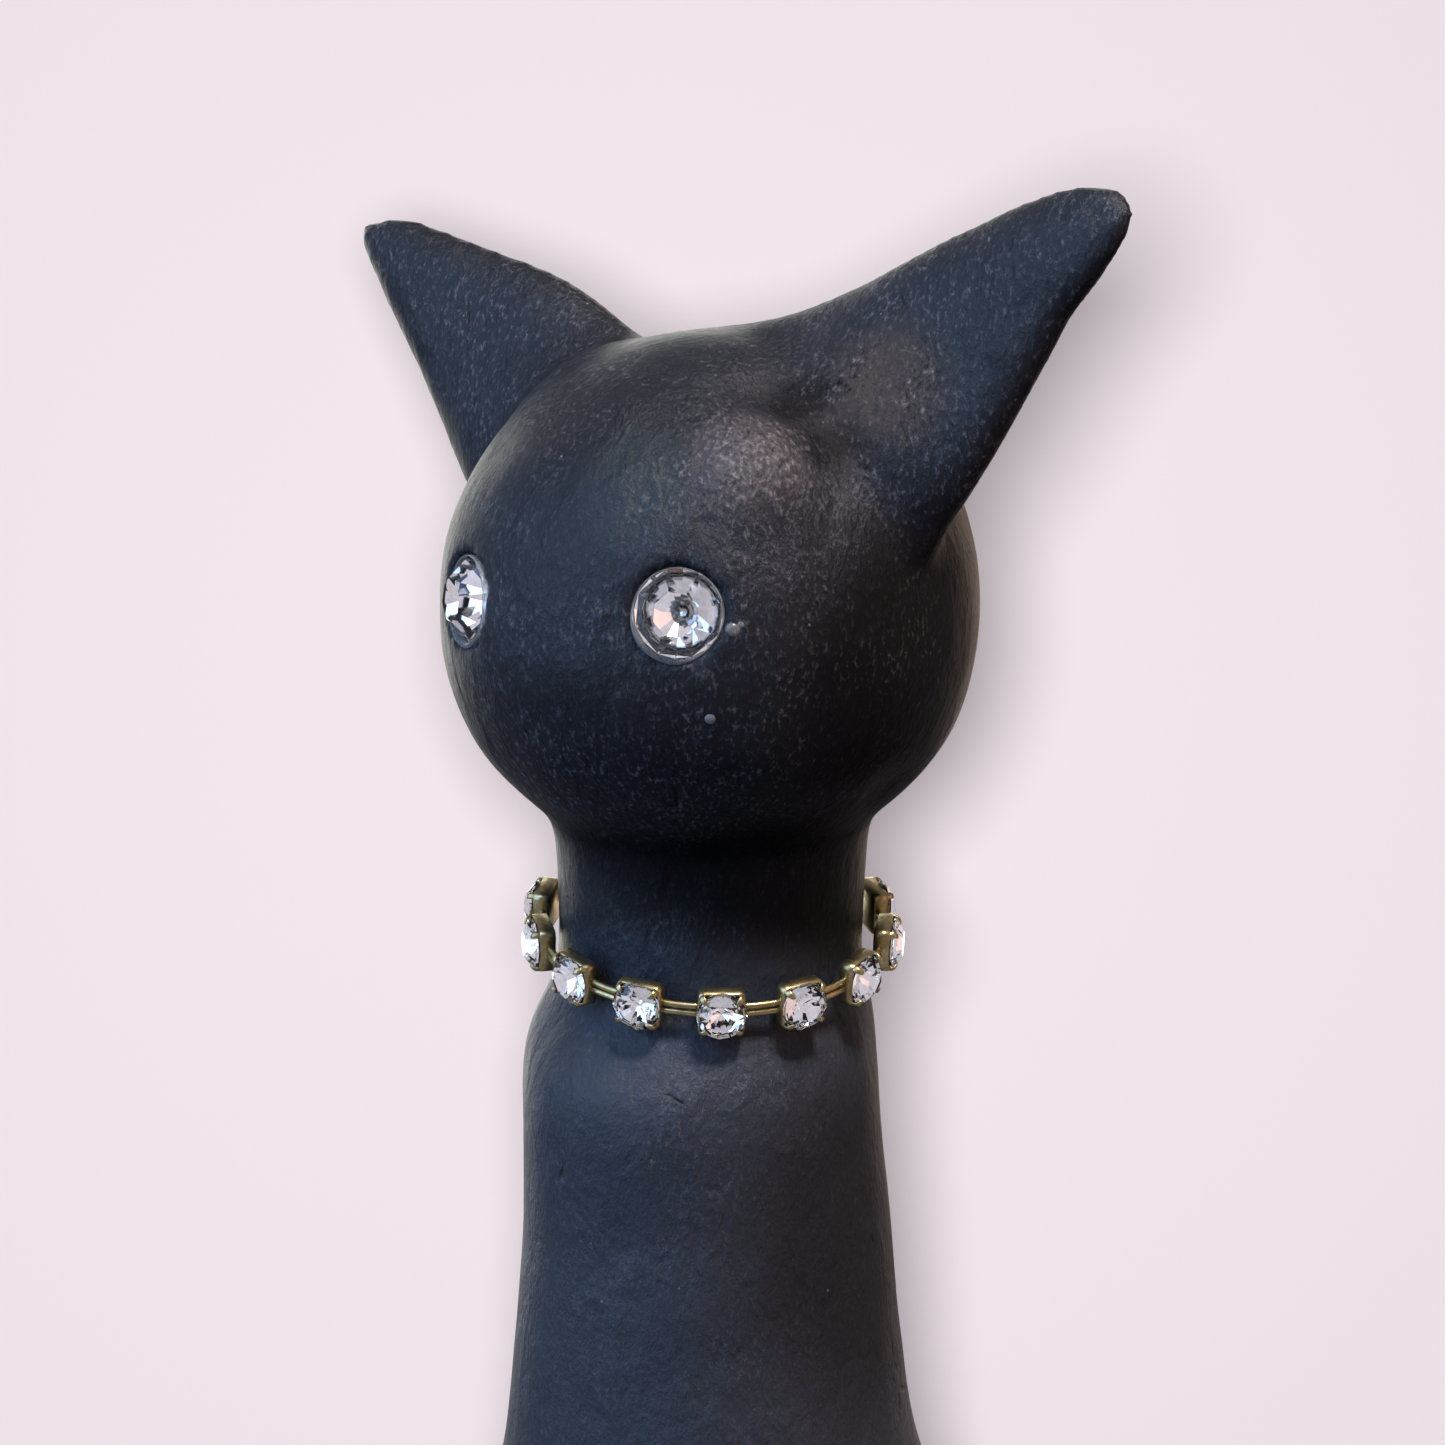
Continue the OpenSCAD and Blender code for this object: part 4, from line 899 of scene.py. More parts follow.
@dataclass(frozen=True)
class Ear:
    """One ear as a leaf: distance along it, then the reach to its lower and upper edge."""

    side: int
    rise_deg: float
    stations: tuple[tuple[float, float, float], ...]
    sweep: float = 0.095
    lean: float = 0.25
    half_thick: float = 5.5
    rings: int = 60
    sides: int = 48

    def frame(self) -> Matrix:
        """Finds the ear's axes.

        Returns:
            The frame with x along the ear, y across it and z through it.
        """
        rise = math.radians(self.rise_deg)
        along = Vector((math.cos(rise), self.sweep, math.sin(rise)))
        across = Vector((-math.sin(rise), self.lean, math.cos(rise)))
        through = along.cross(across).normalized()
        axes = Matrix((along, across, through)).transposed().to_4x4()
        mirror = Matrix.Diagonal((self.side, 1, 1, 1))
        return HEAD @ mirror @ axes

    def add_to(self, shape: Shape) -> None:
        """Adds the ear, from inside the head to its soft tip.

        Args:
            shape: takes the ear.
        """
        table = np.array(self.stations)
        start, end = table[0, 0], table[-1, 0]
        rings = []
        for i in range(self.rings):
            # Stations crowd towards the tip, where the outline turns fastest
            share = math.sin(math.pi / 2 * i / (self.rings - 1))
            at = start + (end - start) * min(share, 0.9995)
            low = float(np.interp(at, table[:, 0], table[:, 1]))
            high = float(np.interp(at, table[:, 0], table[:, 2]))
            thick = self.half_thick * math.sqrt(max(1 - (at - start) / (end - start), 0.0))
            thick = min(thick, max((high - low) / 2, 0.05))
            mid, half = (low + high) / 2, (high - low) / 2
            rings.append(
                [
                    (at, mid + half * math.cos(t), thick * self.side * math.sin(t))
                    for t in around(self.sides)
                ]
            )
        shape.loft(rings, self.frame())


@dataclass(frozen=True)
class Thumb:
    """One touch on the clay: its place, how wide and tall it is, and how far it raises the skin."""

    at: Vector
    width: float
    rise: float
    tall: float = 1.0


def points_of(mesh: bpy.types.Mesh, what: str = "co") -> np.ndarray:
    """Reads the points of a mesh.

    Args:
        mesh: the mesh.
        what: co for places in metres, or normal.

    Returns:
        One row of three numbers for each point.
    """
    flat = np.empty(len(mesh.vertices) * 3)
    mesh.vertices.foreach_get(what, flat)
    return flat.reshape(-1, 3)


def move_points(mesh: bpy.types.Mesh, place: np.ndarray) -> None:
    """Moves the points of a mesh to new places in metres."""
    mesh.vertices.foreach_set("co", place.ravel())
    mesh.update()


def keep_inside(mesh: bpy.types.Mesh, low: Point, high: Point) -> None:
    """Holds a mesh inside a box in millimetres, so that no thumb mark stands out of the solids."""
    move_points(mesh, np.clip(points_of(mesh), np.array(low) * MM, np.array(high) * MM))


def swell(mesh: bpy.types.Mesh, rise_mm: float, low: Point, high: Point) -> None:
    """Gives back the skin that smoothing took off, fading out towards the sides of a box.

    Args:
        mesh: the mesh, in metres.
        rise_mm: how far the skin rises.
        low: lower corner of the box.
        high: upper corner of the box.
    """
    clear_mm, fade_mm = 1.5, 5.0
    place = points_of(mesh) / MM
    inner = np.minimum(place - np.array(low), np.array(high) - place).min(axis=1)
    rise = rise_mm * np.clip((inner - clear_mm) / fade_mm, 0, 1)
    move_points(mesh, (place + points_of(mesh, "normal") * rise[:, None]) * MM)


def relax(mesh: bpy.types.Mesh, rounds: int, weight: np.ndarray | float = 1.0) -> None:
    """Smooths a mesh by moving each point towards its neighbours.

    Args:
        mesh: the mesh.
        rounds: how often.
        weight: share of the move for each point; less than 0 moves it away.
    """
    place = points_of(mesh)
    count = len(place)
    edges = np.empty(len(mesh.edges) * 2, np.int64)
    mesh.edges.foreach_get("vertices", edges)
    a, b = edges.reshape(-1, 2).T
    near = np.bincount(a, minlength=count) + np.bincount(b, minlength=count)
    share = 0.5 * np.broadcast_to(weight, count)[:, None]
    for _ in range(rounds):
        sums = [
            np.bincount(a, place[b, i], count) + np.bincount(b, place[a, i], count)
            for i in range(3)
        ]
        total = np.stack(sums, axis=1)
        place = place + share * (total / np.maximum(near, 1)[:, None] - place)
    move_points(mesh, place)


def press(mesh: bpy.types.Mesh, thumbs: Iterable[Thumb], lump_mm: float, lump_rise: float) -> None:
    """Raises and dents a mesh along its normals.

    Args:
        mesh: the mesh, in metres.
        thumbs: touches on the clay.
        lump_mm: size of the unevenness all over.
        lump_rise: height of that unevenness.
    """
    place = points_of(mesh) / MM
    fine_mm, fine_share = 0.45 * lump_mm, 0.25
    lumps = [
        noise.noise(Vector(p) / lump_mm) + fine_share * noise.noise(Vector(p) / fine_mm)
        for p in place
    ]
    rise = lump_rise * np.array(lumps)
    for thumb in thumbs:
        away = place - np.array(thumb.at)
        away[:, 2] /= thumb.tall
        rise += thumb.rise * np.exp(-((away**2).sum(1)) / thumb.width**2)
    move_points(mesh, (place + points_of(mesh, "normal") * rise[:, None]) * MM)


@dataclass
class ClayFigure:
    """Head, ears, neck and body, modelled as one lump of clay around the dial and the movement."""

    # Height above the underside, half width, reach to the front, reach to the back, squareness
    sections: tuple[tuple[float, float, float, float, float], ...] = (
        (0.0, 26.0, 14.5, 40.0, 2.3),
        (4.0, 33.0, 17.5, 43.0, 2.3),
        (13.0, 40.5, 20.0, 45.0, 2.3),
        (23.0, 44.8, 21.8, 46.0, 2.3),
        (40.0, 47.0, 23.0, 46.0, 2.3),
        (54.0, 46.0, 23.0, 46.0, 2.3),
        (70.0, 42.4, 23.0, 45.0, 2.3),
        (78.0, 39.0, 23.0, 43.5, 2.3),
        (85.0, 35.0, 22.8, 40.0, 2.3),
        (92.0, 30.5, 22.6, 35.0, 2.25),
        (100.0, 26.0, 22.2, 28.5, 2.2),
        (108.0, 23.0, 21.8, 23.0, 2.15),
        (118.0, 20.4, 21.2, 19.4, 2.1),
        (132.0, 18.8, 20.6, 17.6, 2.05),
        (143.0, 18.2, 20.0, 17.2, 2.0),
        (156.2, 17.4, 20.6, 15.8, 2.0),
        (160.2, 16.9, 19.6, 15.6, 2.0),
        (161.9, 15.9, 16.9, 15.2, 2.0),
        (164.4, 14.7, 14.7, 14.7, 2.0),
        (170.9, 14.8, 14.8, 14.8, 2.0),
        (176.0, 15.0, 15.0, 15.0, 2.0),
        (181.0, 15.4, 15.4, 15.4, 2.0),
        (186.0, 16.2, 16.2, 16.2, 2.0),
    )
    axis_depth: float = 28.0
    body_sides: int = 160
    body_step: float = 1.2
    blend_mm: float = 2.4
    left_ear: Ear = Ear(
        1,
        36.0,
        (
            (12.0, -14.0, 23.5),
            (18.0, -13.5, 20.4),
            (25.0, -12.0, 17.1),
            (32.0, -9.6, 14.8),
            (38.0, -7.4, 13.5),
            (44.0, -4.9, 12.2),
            (50.0, -2.5, 10.8),
            (55.0, -1.7, 9.2),
            (58.5, -0.9, 7.8),
            (60.8, 0.1, 6.5),
            (61.9, 1.5, 4.8),
            (62.2, 3.0, 3.3),
        ),
    )
    right_ear: Ear = Ear(
        -1,
        34.0,
        (
            (12.0, -14.0, 15.5),
            (18.0, -13.0, 15.2),
            (24.0, -11.8, 14.7),
            (30.0, -9.9, 14.3),
            (36.0, -7.6, 13.5),
            (43.0, -5.1, 11.7),
            (49.0, -2.7, 9.8),
            (55.0, -1.0, 7.9),
            (60.0, 0.3, 5.7),
            (62.7, 1.4, 4.0),
            (63.4, 2.2, 2.9),
        ),
    )
    # The swelling round the dial and the one round the hanger: radius and height
    dial_boss: tuple[tuple[float, float], ...] = (
        (48.0, 0.0), (46.0, 4.0), (42.5, 8.5), (39.0, 12.0),
        (37.0, 13.2), (35.2, 13.5), (30.0, 13.5),
    )
    hanger_boss: tuple[tuple[float, float], ...] = (
        (24.0, -26.0), (24.0, -20.0), (21.5, -16.0), (18.6, -12.0),
        (17.1, -8.0), (16.6, -5.0), (16.6, 0.0),
    )
    # Lower and upper edge of the pocket behind the hanger plate
    plate: tuple[float, float] = (-6.9, 14.4)
    # Where the lumps run into each other: distance from the middle, and spread
    ear_root_mm: tuple[float, float] = (28.5, 4.0)
    dial_rim_mm: tuple[float, float] = (42.0, 5.0)
    hanger_rim_mm: tuple[float, float] = (20.0, 5.0)
    # The ears and the crown of the head lie above this height
    ears_above: float = 125.0
    # Distance from the head's centre where an ear and its tip start, and how far that fades in
    ear_from_mm: tuple[float, float] = (34.0, 6.0)
    tip_from_mm: tuple[float, float] = (50.0, 4.0)
    # The dial's swelling lies before the first depth, and the hanger's behind the second
    boss_depths: tuple[float, float] = (-30.0, -22.0)
    voxel_mm: float = 0.75
    # Size and height of the unevenness all over
    lumps_mm: tuple[float, float] = (11.0, 0.32)
    swell_mm: float = 0.38
    tip_soft_mm: float = 0.5
    # Random marks on the neck, the head and the body
    random_marks: tuple[int, int, int] = (70, 60, 110)
    # The wall plane at the back and the solids' own reach at both ears
    box: tuple[Point, Point] = ((-53.7, -54.69, -89.0), (46.98, 0.0, 159.0))
    seed: int = 11

    def body(self, shape: Shape) -> None:
        """Adds the body and neck, with the sections blended along the height.

        Args:
            shape: takes the body.
        """
        table = np.array(self.sections)
        heights = np.arange(0.0, table[-1, 0] + self.body_step / 2, self.body_step)
        columns = [np.interp(heights, table[:, 0], table[:, i]) for i in range(1, 5)]
        reach = int(3 * self.blend_mm / self.body_step)
        kernel = np.exp(-0.5 * (np.arange(-reach, reach + 1) * self.body_step / self.blend_mm) ** 2)
        kernel /= kernel.sum()
        blended = [
            np.convolve(np.pad(c, reach, mode="reflect", reflect_type="odd"), kernel, "valid")
            for c in columns
        ]
        turns = np.arange(self.body_sides) * 2 * np.pi / self.body_sides
        rings = []
        for h, wide, front, rear, square in zip(heights, *blended):
            x = np.sign(np.cos(turns)) * np.abs(np.cos(turns)) ** (2 / square) * wide
            y = np.sign(np.sin(turns)) * np.abs(np.sin(turns)) ** (2 / square)
            y = np.minimum(np.where(y < 0, y * front, y * rear), self.axis_depth) - self.axis_depth
            rings.append([(px, py, UNDERSIDE_Z + h) for px, py in zip(x, y)])
        shape.loft(rings)

    def lump(self) -> Shape:
        """Gathers head, ears, body and both bosses.

        Returns:
            The overlapping solids as one shape.
        """
        shape = Shape()
        self.body(shape)
        poles = [math.pi * (k / 64 - 0.5) for k in range(1, 64)]
        ball = [(HEAD_R * math.cos(t), HEAD_R * math.sin(t)) for t in poles]
        shape.lathe(ball, 128, Matrix.Translation(HEAD_CENTRE))
        self.left_ear.add_to(shape)
        self.right_ear.add_to(shape)
        shape.lathe(self.dial_boss, 160, MOVEMENT)
        shape.lathe(self.hanger_boss, 96, Matrix.Translation((0, 0, sum(self.plate) / 2)) @ WALL)
        return shape

    def hollows(self) -> list[Shape]:
        """Gathers what is cut out of the clay.

        Returns:
            The hollows, each a closed shape.
        """
        tail_slot = Matrix.Translation((0.0, -20.3, -95.0))
        low, high = self.plate
        plans = [
            # Recess of the movement, seat of the dial and hole of the shaft
            (rounded_outline(29.5, -31.0, 31.0, 3.0), -40.0, 1.0, MOVEMENT),
            (circle(33.3, 0, 0, 160), 7.0, 40.0, MOVEMENT),
            (circle(4.3, 0, 0, 32), 0.5, 8.0, MOVEMENT),
            # Slot that the tail swings in, and pocket of the hanger
            (rounded_outline(14.25, -8.0, 8.0, 2.5), 0.0, 25.0, tail_slot),
            (rounded_outline(12.1, low, high, 2.0), -14.3, 5.0, WALL),
        ]
        # Sockets of the wall bumpers and of the eyes
        plans += [(circle(2.45, x, -66.0, 32), -2.0, 5.0, WALL) for x in (-32.7, 32.7)]
        plans += [(circle(eye.radius + 0.1, 0, 0, 48), 22.4, 40.0, eye.frame()) for eye in EYES]
        hollows = []
        for outline, bottom, top, frame in plans:
            hollows.append(Shape())
            hollows[-1].prism(outline, bottom, top, frame)
        return hollows

    def touches(self) -> list[Thumb]:
        """Gathers the maker's marks: brow, hollows at the ears, jaw, shoulder and random ones.

        Returns:
            The marks.
        """

        def on_head(turn: float, rise: float, width: float, up: float) -> Thumb:
            """Returns a touch on the ball of the head."""
            return Thumb(HEAD_CENTRE + bearing(turn, rise) * HEAD_R, width, up)

        marks = [
            # Brow, valley and hollows at the root of the left ear
            on_head(50.0, 41.0, 5.6, 1.5),
            on_head(57.0, 60.0, 3.0, -0.8),
            on_head(68.0, 55.0, 3.0, -1.1),
            on_head(74.0, 45.0, 3.0, -1.0),
            on_head(73.0, 33.0, 3.4, -0.6),
            # Crown, nick over the eye, jaw and cheeks
            on_head(34.7, 52.7, 5.0, -0.45),
            on_head(23.2, 31.2, 1.3, -0.3),
            on_head(93.3, -38.9, 4.0, -0.6),
            on_head(115.5, 16.5, 7.0, -0.45),
            on_head(122.0, -10.0, 7.0, -0.15),
            on_head(-44.4, -16.2, 13.0, 0.3),
            on_head(3.3, -11.7, 12.0, 0.25),
            on_head(-8.0, 38.6, 9.0, -0.25),
            # Shoulder under the collar
            Thumb(Vector((-13.0, -38.5, 72.8)), 6.0, 1.4),
            Thumb(Vector((11.9, -18.3, 74.6)), 4.2, 0.7),
        ]
        for ear in (self.left_ear, self.right_ear):
            # The hollow of the ear, and the ridge from its root to the brow
            marks.append(Thumb(ear.frame() @ Vector((42.0, 4.0, 4.0)), 8.0, -0.5))
            for x, y, z in ((15.0, -28.0, 139.5), (18.5, -30.0, 136.5), (22.5, -31.0, 133.0)):
                marks.append(Thumb(Vector((ear.side * x, y, z)), 5.0, 1.0))
        draw = random.Random(self.seed)
        neck, head, body = self.random_marks
        for _ in range(neck):
            h, turn = draw.uniform(95.0, 165.0), draw.uniform(0.0, 2 * math.pi)
            x, y = 19.0 * math.sin(turn), -self.axis_depth - 20.0 * math.cos(turn)
            at = Vector((x, y, UNDERSIDE_Z + h))
            marks.append(Thumb(at, draw.uniform(4.0, 7.0), draw.uniform(-0.22, 0.16), 2.6))
        for _ in range(head):
            turn, rise = draw.uniform(-180, 180), draw.uniform(-60, 80)
            marks.append(on_head(turn, rise, draw.uniform(3.0, 6.5), draw.uniform(-0.2, 0.14)))
        for _ in range(body):
            h, x = draw.uniform(2.0, 95.0), draw.uniform(-48.0, 48.0)
            y = draw.choice((-48.0, -30.0, -8.0))
            at = Vector((x, y, UNDERSIDE_Z + h))
            marks.append(Thumb(at, draw.uniform(5.0, 9.0), draw.uniform(-0.3, 0.2)))
        return marks

    def remesh(self, clay: bpy.types.Object) -> None:
        """Melts overlapping or cut solids into one even skin.

        Args:
            clay: the clay.
        """
        melt = clay.modifiers.new("melt", "REMESH")
        melt.mode = "VOXEL"
        melt.voxel_size = self.voxel_mm * MM
        melt.use_smooth_shade = True
        applied(clay)

    def smooth_joins(self, mesh: bpy.types.Mesh) -> None:
        """Smooths the skin, most where ears and bosses run into it, and then the ears.

        Args:
            mesh: the clay's mesh, in metres.
        """
        place = points_of(mesh) / MM
        ears = place[:, 2] > self.ears_above
        from_head = np.linalg.norm(place - np.array(HEAD_CENTRE), axis=1)
        from_dial = np.hypot(place[:, 0], place[:, 2] - SHAFT.z)
        from_hanger = np.hypot(place[:, 0], place[:, 2] - sum(self.plate) / 2)
        front, rear = self.boss_depths
        joins = (
            (from_head, self.ear_root_mm, ears),
            (from_dial, self.dial_rim_mm, place[:, 1] < front),
            (from_hanger, self.hanger_rim_mm, place[:, 1] > rear),
        )
        weight = np.zeros(len(place))
        for away, (at, spread), there in joins:
            weight += np.exp(-(((away - at) / spread) ** 2)) * there
        relax(mesh, 6)
        relax(mesh, 26, np.clip(weight, 0, 1))
        start, fade = self.ear_from_mm
        relax(mesh, 8, np.clip((from_head - start) / fade, 0, 1) * ears)

    def round_tips(self, mesh: bpy.types.Mesh) -> None:
        """Rounds the tips of the ears off softly below the solids' own reach.

        Args:
            mesh: the clay's mesh, in metres.
        """
        place = points_of(mesh) / MM
        ears = place[:, 2] > self.ears_above
        soft = self.tip_soft_mm
        for axis in (0, 2):
            reach = self.box[1][axis]
            place[ears, axis] = -soft * np.logaddexp(-place[ears, axis] / soft, -reach / soft)
        move_points(mesh, place * MM)
        from_head = np.linalg.norm(place - np.array(HEAD_CENTRE), axis=1)
        start, fade = self.tip_from_mm
        tip = np.clip((from_head - start) / fade, 0, 1) * (place[:, 2] > self.ears_above)
        # Each round of smoothing is given back in part, so that the tips keep their reach
        for _ in range(10):
            relax(mesh, 1, tip)
            relax(mesh, 1, -0.9 * tip)

    def build(self) -> None:
        """Models the lump, smooths and thumbs it, cuts it, and puts it on the figure."""
        clay = self.lump().piece("clay_figure", Surface.CLAY)
        self.remesh(clay)
        self.smooth_joins(clay.data)
        press(clay.data, self.touches(), *self.lumps_mm)
        relax(clay.data, 3)
        swell(clay.data, self.swell_mm, *self.box)
        for hollow in self.hollows():
            tool = hollow.piece("clay_hollow", Surface.CLAY)
            cut = clay.modifiers.new("hollow", "BOOLEAN")
            cut.operation, cut.object, cut.solver = "DIFFERENCE", tool, "MANIFOLD"
            applied(clay)
            bpy.data.objects.remove(tool)
        self.remesh(clay)
        relax(clay.data, 2)
        self.round_tips(clay.data)
        keep_inside(clay.data, *self.box)
        dress(clay.data, Surface.CLAY)
        faces = len(clay.data.polygons)
        clay.data.polygons.foreach_set("material_index", [0] * faces)
        clay.data.polygons.foreach_set("use_smooth", [True] * faces)
        settle(clay, "figure", "black_clay", "torso", "head")


@dataclass
class Tail:
    """The clay tail, a tapering hook that hangs from its rod."""

    line: tuple[tuple[float, float], ...] = (
        (0.0, 6.0),
        (0.0, -7.9),
        (-3.6, -28.0),
        (-8.5, -50.1),
        (-8.5, -70.1),
        (-1.6, -90.1),
        (9.0, -106.0),
        (21.0, -113.0),
        (30.1, -108.0),
        (32.0, -98.0),
    )
    depth: float = -20.3
    top_r: float = 6.5
    tip_r: float = 4.2
    steps: int = 14
    sides: int = 40
    # The solid tail's own reach
    box: tuple[Point, Point] = ((-60.0, -54.0, -206.6), (60.0, 0.0, 0.0))
    seed: int = 5

    def middle(self) -> list[Vector]:
        """Draws the smooth middle line.

        Returns:
            Its points, from the rod to the tip.
        """
        pts = [Vector((x, self.depth, UNDERSIDE_Z + h)) for x, h in self.line]
        path = []
        for i in range(len(pts) - 1):
            a, b = pts[max(i - 1, 0)], pts[i]
            c, d = pts[i + 1], pts[min(i + 2, len(pts) - 1)]
            for s in range(self.steps):
                t = s / self.steps
                bend, twist = 2 * a - 5 * b + 4 * c - d, 3 * b - a - 3 * c + d
                path.append((2 * b + (c - a) * t + bend * t * t + twist * t**3) / 2)
        return [*path, pts[-1]]

    def build(self) -> None:
        """Sweeps the tail, rounds both ends and thumbs it."""
        path = self.middle()
        last = len(path) - 1
        rings = []
        for i, at in enumerate(path):
            ahead = (path[min(i + 1, last)] - path[max(i - 1, 0)]).normalized()
            across = Vector((-ahead.z, 0.0, ahead.x))
            share = i / last
            round_end = min(1.0, math.sqrt(max(1.0 - share**14, 0.004)))
            round_top = min(1.0, math.sqrt(max(1 - (1 - min(i / 5, 1.0)) ** 2, 0.3)))
            r = (self.top_r + (self.tip_r - self.top_r) * share) * round_end * round_top
            deep = Vector((0, 1, 0))
            rings.append(
                [at + r * (across * math.cos(t) + deep * math.sin(t)) for t in around(self.sides)]
            )
        shape = Shape()
        shape.loft(rings)
        tail = shape.piece("clay_tail", Surface.CLAY)
        draw = random.Random(self.seed)
        marks = [
            Thumb(
                draw.choice(path) + Vector((draw.uniform(-6, 6), draw.uniform(-6, 6), 0)),
                draw.uniform(3.0, 5.0),
                draw.uniform(-0.3, 0.1),
            )
            for _ in range(46)
        ]
        press(tail.data, marks, 9.0, 0.25)
        keep_inside(tail.data, *self.box)
        settle(tail, "pendulum", "black_clay", "tail")


def add_chaton(shape: Shape, radius: float, crown: float, pavilion: float, frame: Matrix) -> None:
    """Adds a chaton: a round stone with a table, eight broad facets and a foiled pavilion.

    Args:
        shape: takes the stone; mark 0 is the crystal and mark 1 the foil.
        radius: radius at the girdle.
        crown: height of the table above the girdle.
        pavilion: depth of the point below the girdle.
        frame: girdle centre and axis.
    """
    table_r, girdle_h = 0.52 * radius, 0.05 * radius

    def ring(r: float, h: float, count: int, dip: float = 0.0) -> list[Point]:
        """Returns points around the axis, every second one dipped."""
        turns = enumerate(around(count))
        return [(r * math.cos(t), r * math.sin(t), h - dip * (k % 2)) for k, t in turns]

    points = (
        ring(table_r, crown, 8)
        + ring(radius, girdle_h, 16, girdle_h)
        + ring(radius, -girdle_h, 16)
        + [(0.0, 0.0, -pavilion)]
    )
    table, upper, under, point = 0, 8, 24, 40
    clear: list[Sequence[int]] = [tuple(range(8))]
    foil: list[Sequence[int]] = []
    for i in range(8):
        a, b, c = 2 * i, 2 * i + 1, (2 * i + 2) % 16
        clear.append((table + i, upper + a, upper + c, table + (i + 1) % 8))
        clear.append((upper + a, upper + b, upper + c))
        # The pavilion's eight facets stand half a step round from the crown's
        foil.append((under + c, under + b, point))
        foil.append((under + b, under + a, point))
    for j in range(16):
        after = (j + 1) % 16
        clear.append((upper + j, under + j, under + after, upper + after))
    shape.add(points, clear, frame, 0)
    first = len(shape.points) - len(points)
    for face in foil:
        shape.faces.append(tuple(first + i for i in face))
        shape.marks.append(1)


@dataclass
class EyeStone:
    """A foiled chaton of 8.5 mm pressed into the face, with its bead of glue."""

    side: int
    radius: float = 4.25
    crown: float = 2.3
    pavilion: float = 2.8
    turn_deg: float = 32.6
    up_mm: float = 2.7
    girdle: float = 25.6
    spin_deg: float = 14.0
    glue_seed: int = 3
    glue_low_deg: float = -30.0

    def frame(self) -> Matrix:
        """Finds the eye's axis.

        Returns:
            The frame at the head's centre with z out through the eye.
        """
        lean = math.pi / 2 - math.asin(self.up_mm / HEAD_R)
        turn = math.radians(self.side * self.turn_deg - 90)
        return HEAD @ Matrix.Rotation(turn, 4, "Z") @ Matrix.Rotation(lean, 4, "Y")

    def build(self) -> None:
        """Cuts the stone and sets it."""
        name = "left" if self.side > 0 else "right"
        seat = self.frame() @ Matrix.Translation((0, 0, self.girdle))
        seat = seat @ Matrix.Rotation(math.radians(self.spin_deg), 4, "Z")
        shape = Shape()
        add_chaton(shape, self.radius, self.crown, self.pavilion, seat)
        stone = shape.piece(f"eye_chaton_{name}", Surface.CRYSTAL, Surface.FOIL, smooth=False)
        settle(stone, "figure", "crystal", f"eye_stone_{name}")

    def add_glue(self, shape: Shape) -> None:
        """Adds the uneven bead between stone and clay.

        Args:
            shape: takes the bead.
        """
        draw = random.Random(self.glue_seed + self.side)
        waves = [(draw.uniform(0, 6.28), draw.uniform(0.5, 1.0)) for _ in range(5)]
        rings = []
        for t in around(96):
            wave = sum(w * math.cos((n + 1) * t + p) for n, (p, w) in enumerate(waves)) / 5
            # Most of the glue squeezed out below the stone and towards the nose
            low = max(0.0, math.cos(t - math.radians(self.glue_low_deg))) ** 2
            width = 0.12 + 0.5 * low + 0.3 * wave * (0.2 + low)
            outer = self.radius + max(width, 0.1)
            inner = self.radius - 0.02
            skin = math.sqrt(HEAD_R**2 - outer**2)
            lip = math.sqrt(HEAD_R**2 - inner**2) - 0.05 + 0.12 * low + 0.1 * wave
            mid = (inner + outer) / 2
            section = [
                (inner, lip - 1.0),
                (inner, lip),
                (mid - 0.05, lip + 0.05 + 0.08 * low),
                (outer - 0.06, skin + 0.1 + 0.1 * low),
                (outer, skin - 0.1),
                (mid, skin - 0.9),
            ]
            rings.append([(r * math.cos(t), r * math.sin(t), h) for r, h in section])
        shape.loft(rings, self.frame(), looped=True)


# The right stone was set a little higher and nearer the middle of the face than the left one
EYES = (EyeStone(1), EyeStone(-1, turn_deg=25.8, up_mm=3.3))


def build_glue() -> None:
    """Makes both beads of glue, the stray drop beside the left eye and the dusty dot below it."""
    shape = Shape()
    for eye in EYES:
        eye.add_glue(shape)
    # Turn, rise, radius, height and finish of each drop, which sits on the swollen skin
    drops = ((43.4, 5.4, 0.75, 0.5, 0), (45.0, 6.4, 0.45, 0.35, 0), (38.8, -13.1, 0.72, 0.32, 1))
    skin_r = HEAD_R + 0.15
    for turn, rise, radius, height, mark in drops:
        axis = bearing(turn, rise)
        upright = axis.to_track_quat("Z", "Y").to_matrix().to_4x4()
        profile = [
            (radius * 0.9, -0.3),
            *quarter_round((0.0, 0.0), radius, height, 7),
            (0.02, height),
        ]
        shape.lathe(profile, 20, Matrix.Translation(HEAD_CENTRE + axis * skin_r) @ upright, mark)
    glue = shape.piece("eye_glue_beads", Surface.GLUE, Surface.GREY_GLUE)
    settle(glue, "figure", "clear_glue", "eye_glue")


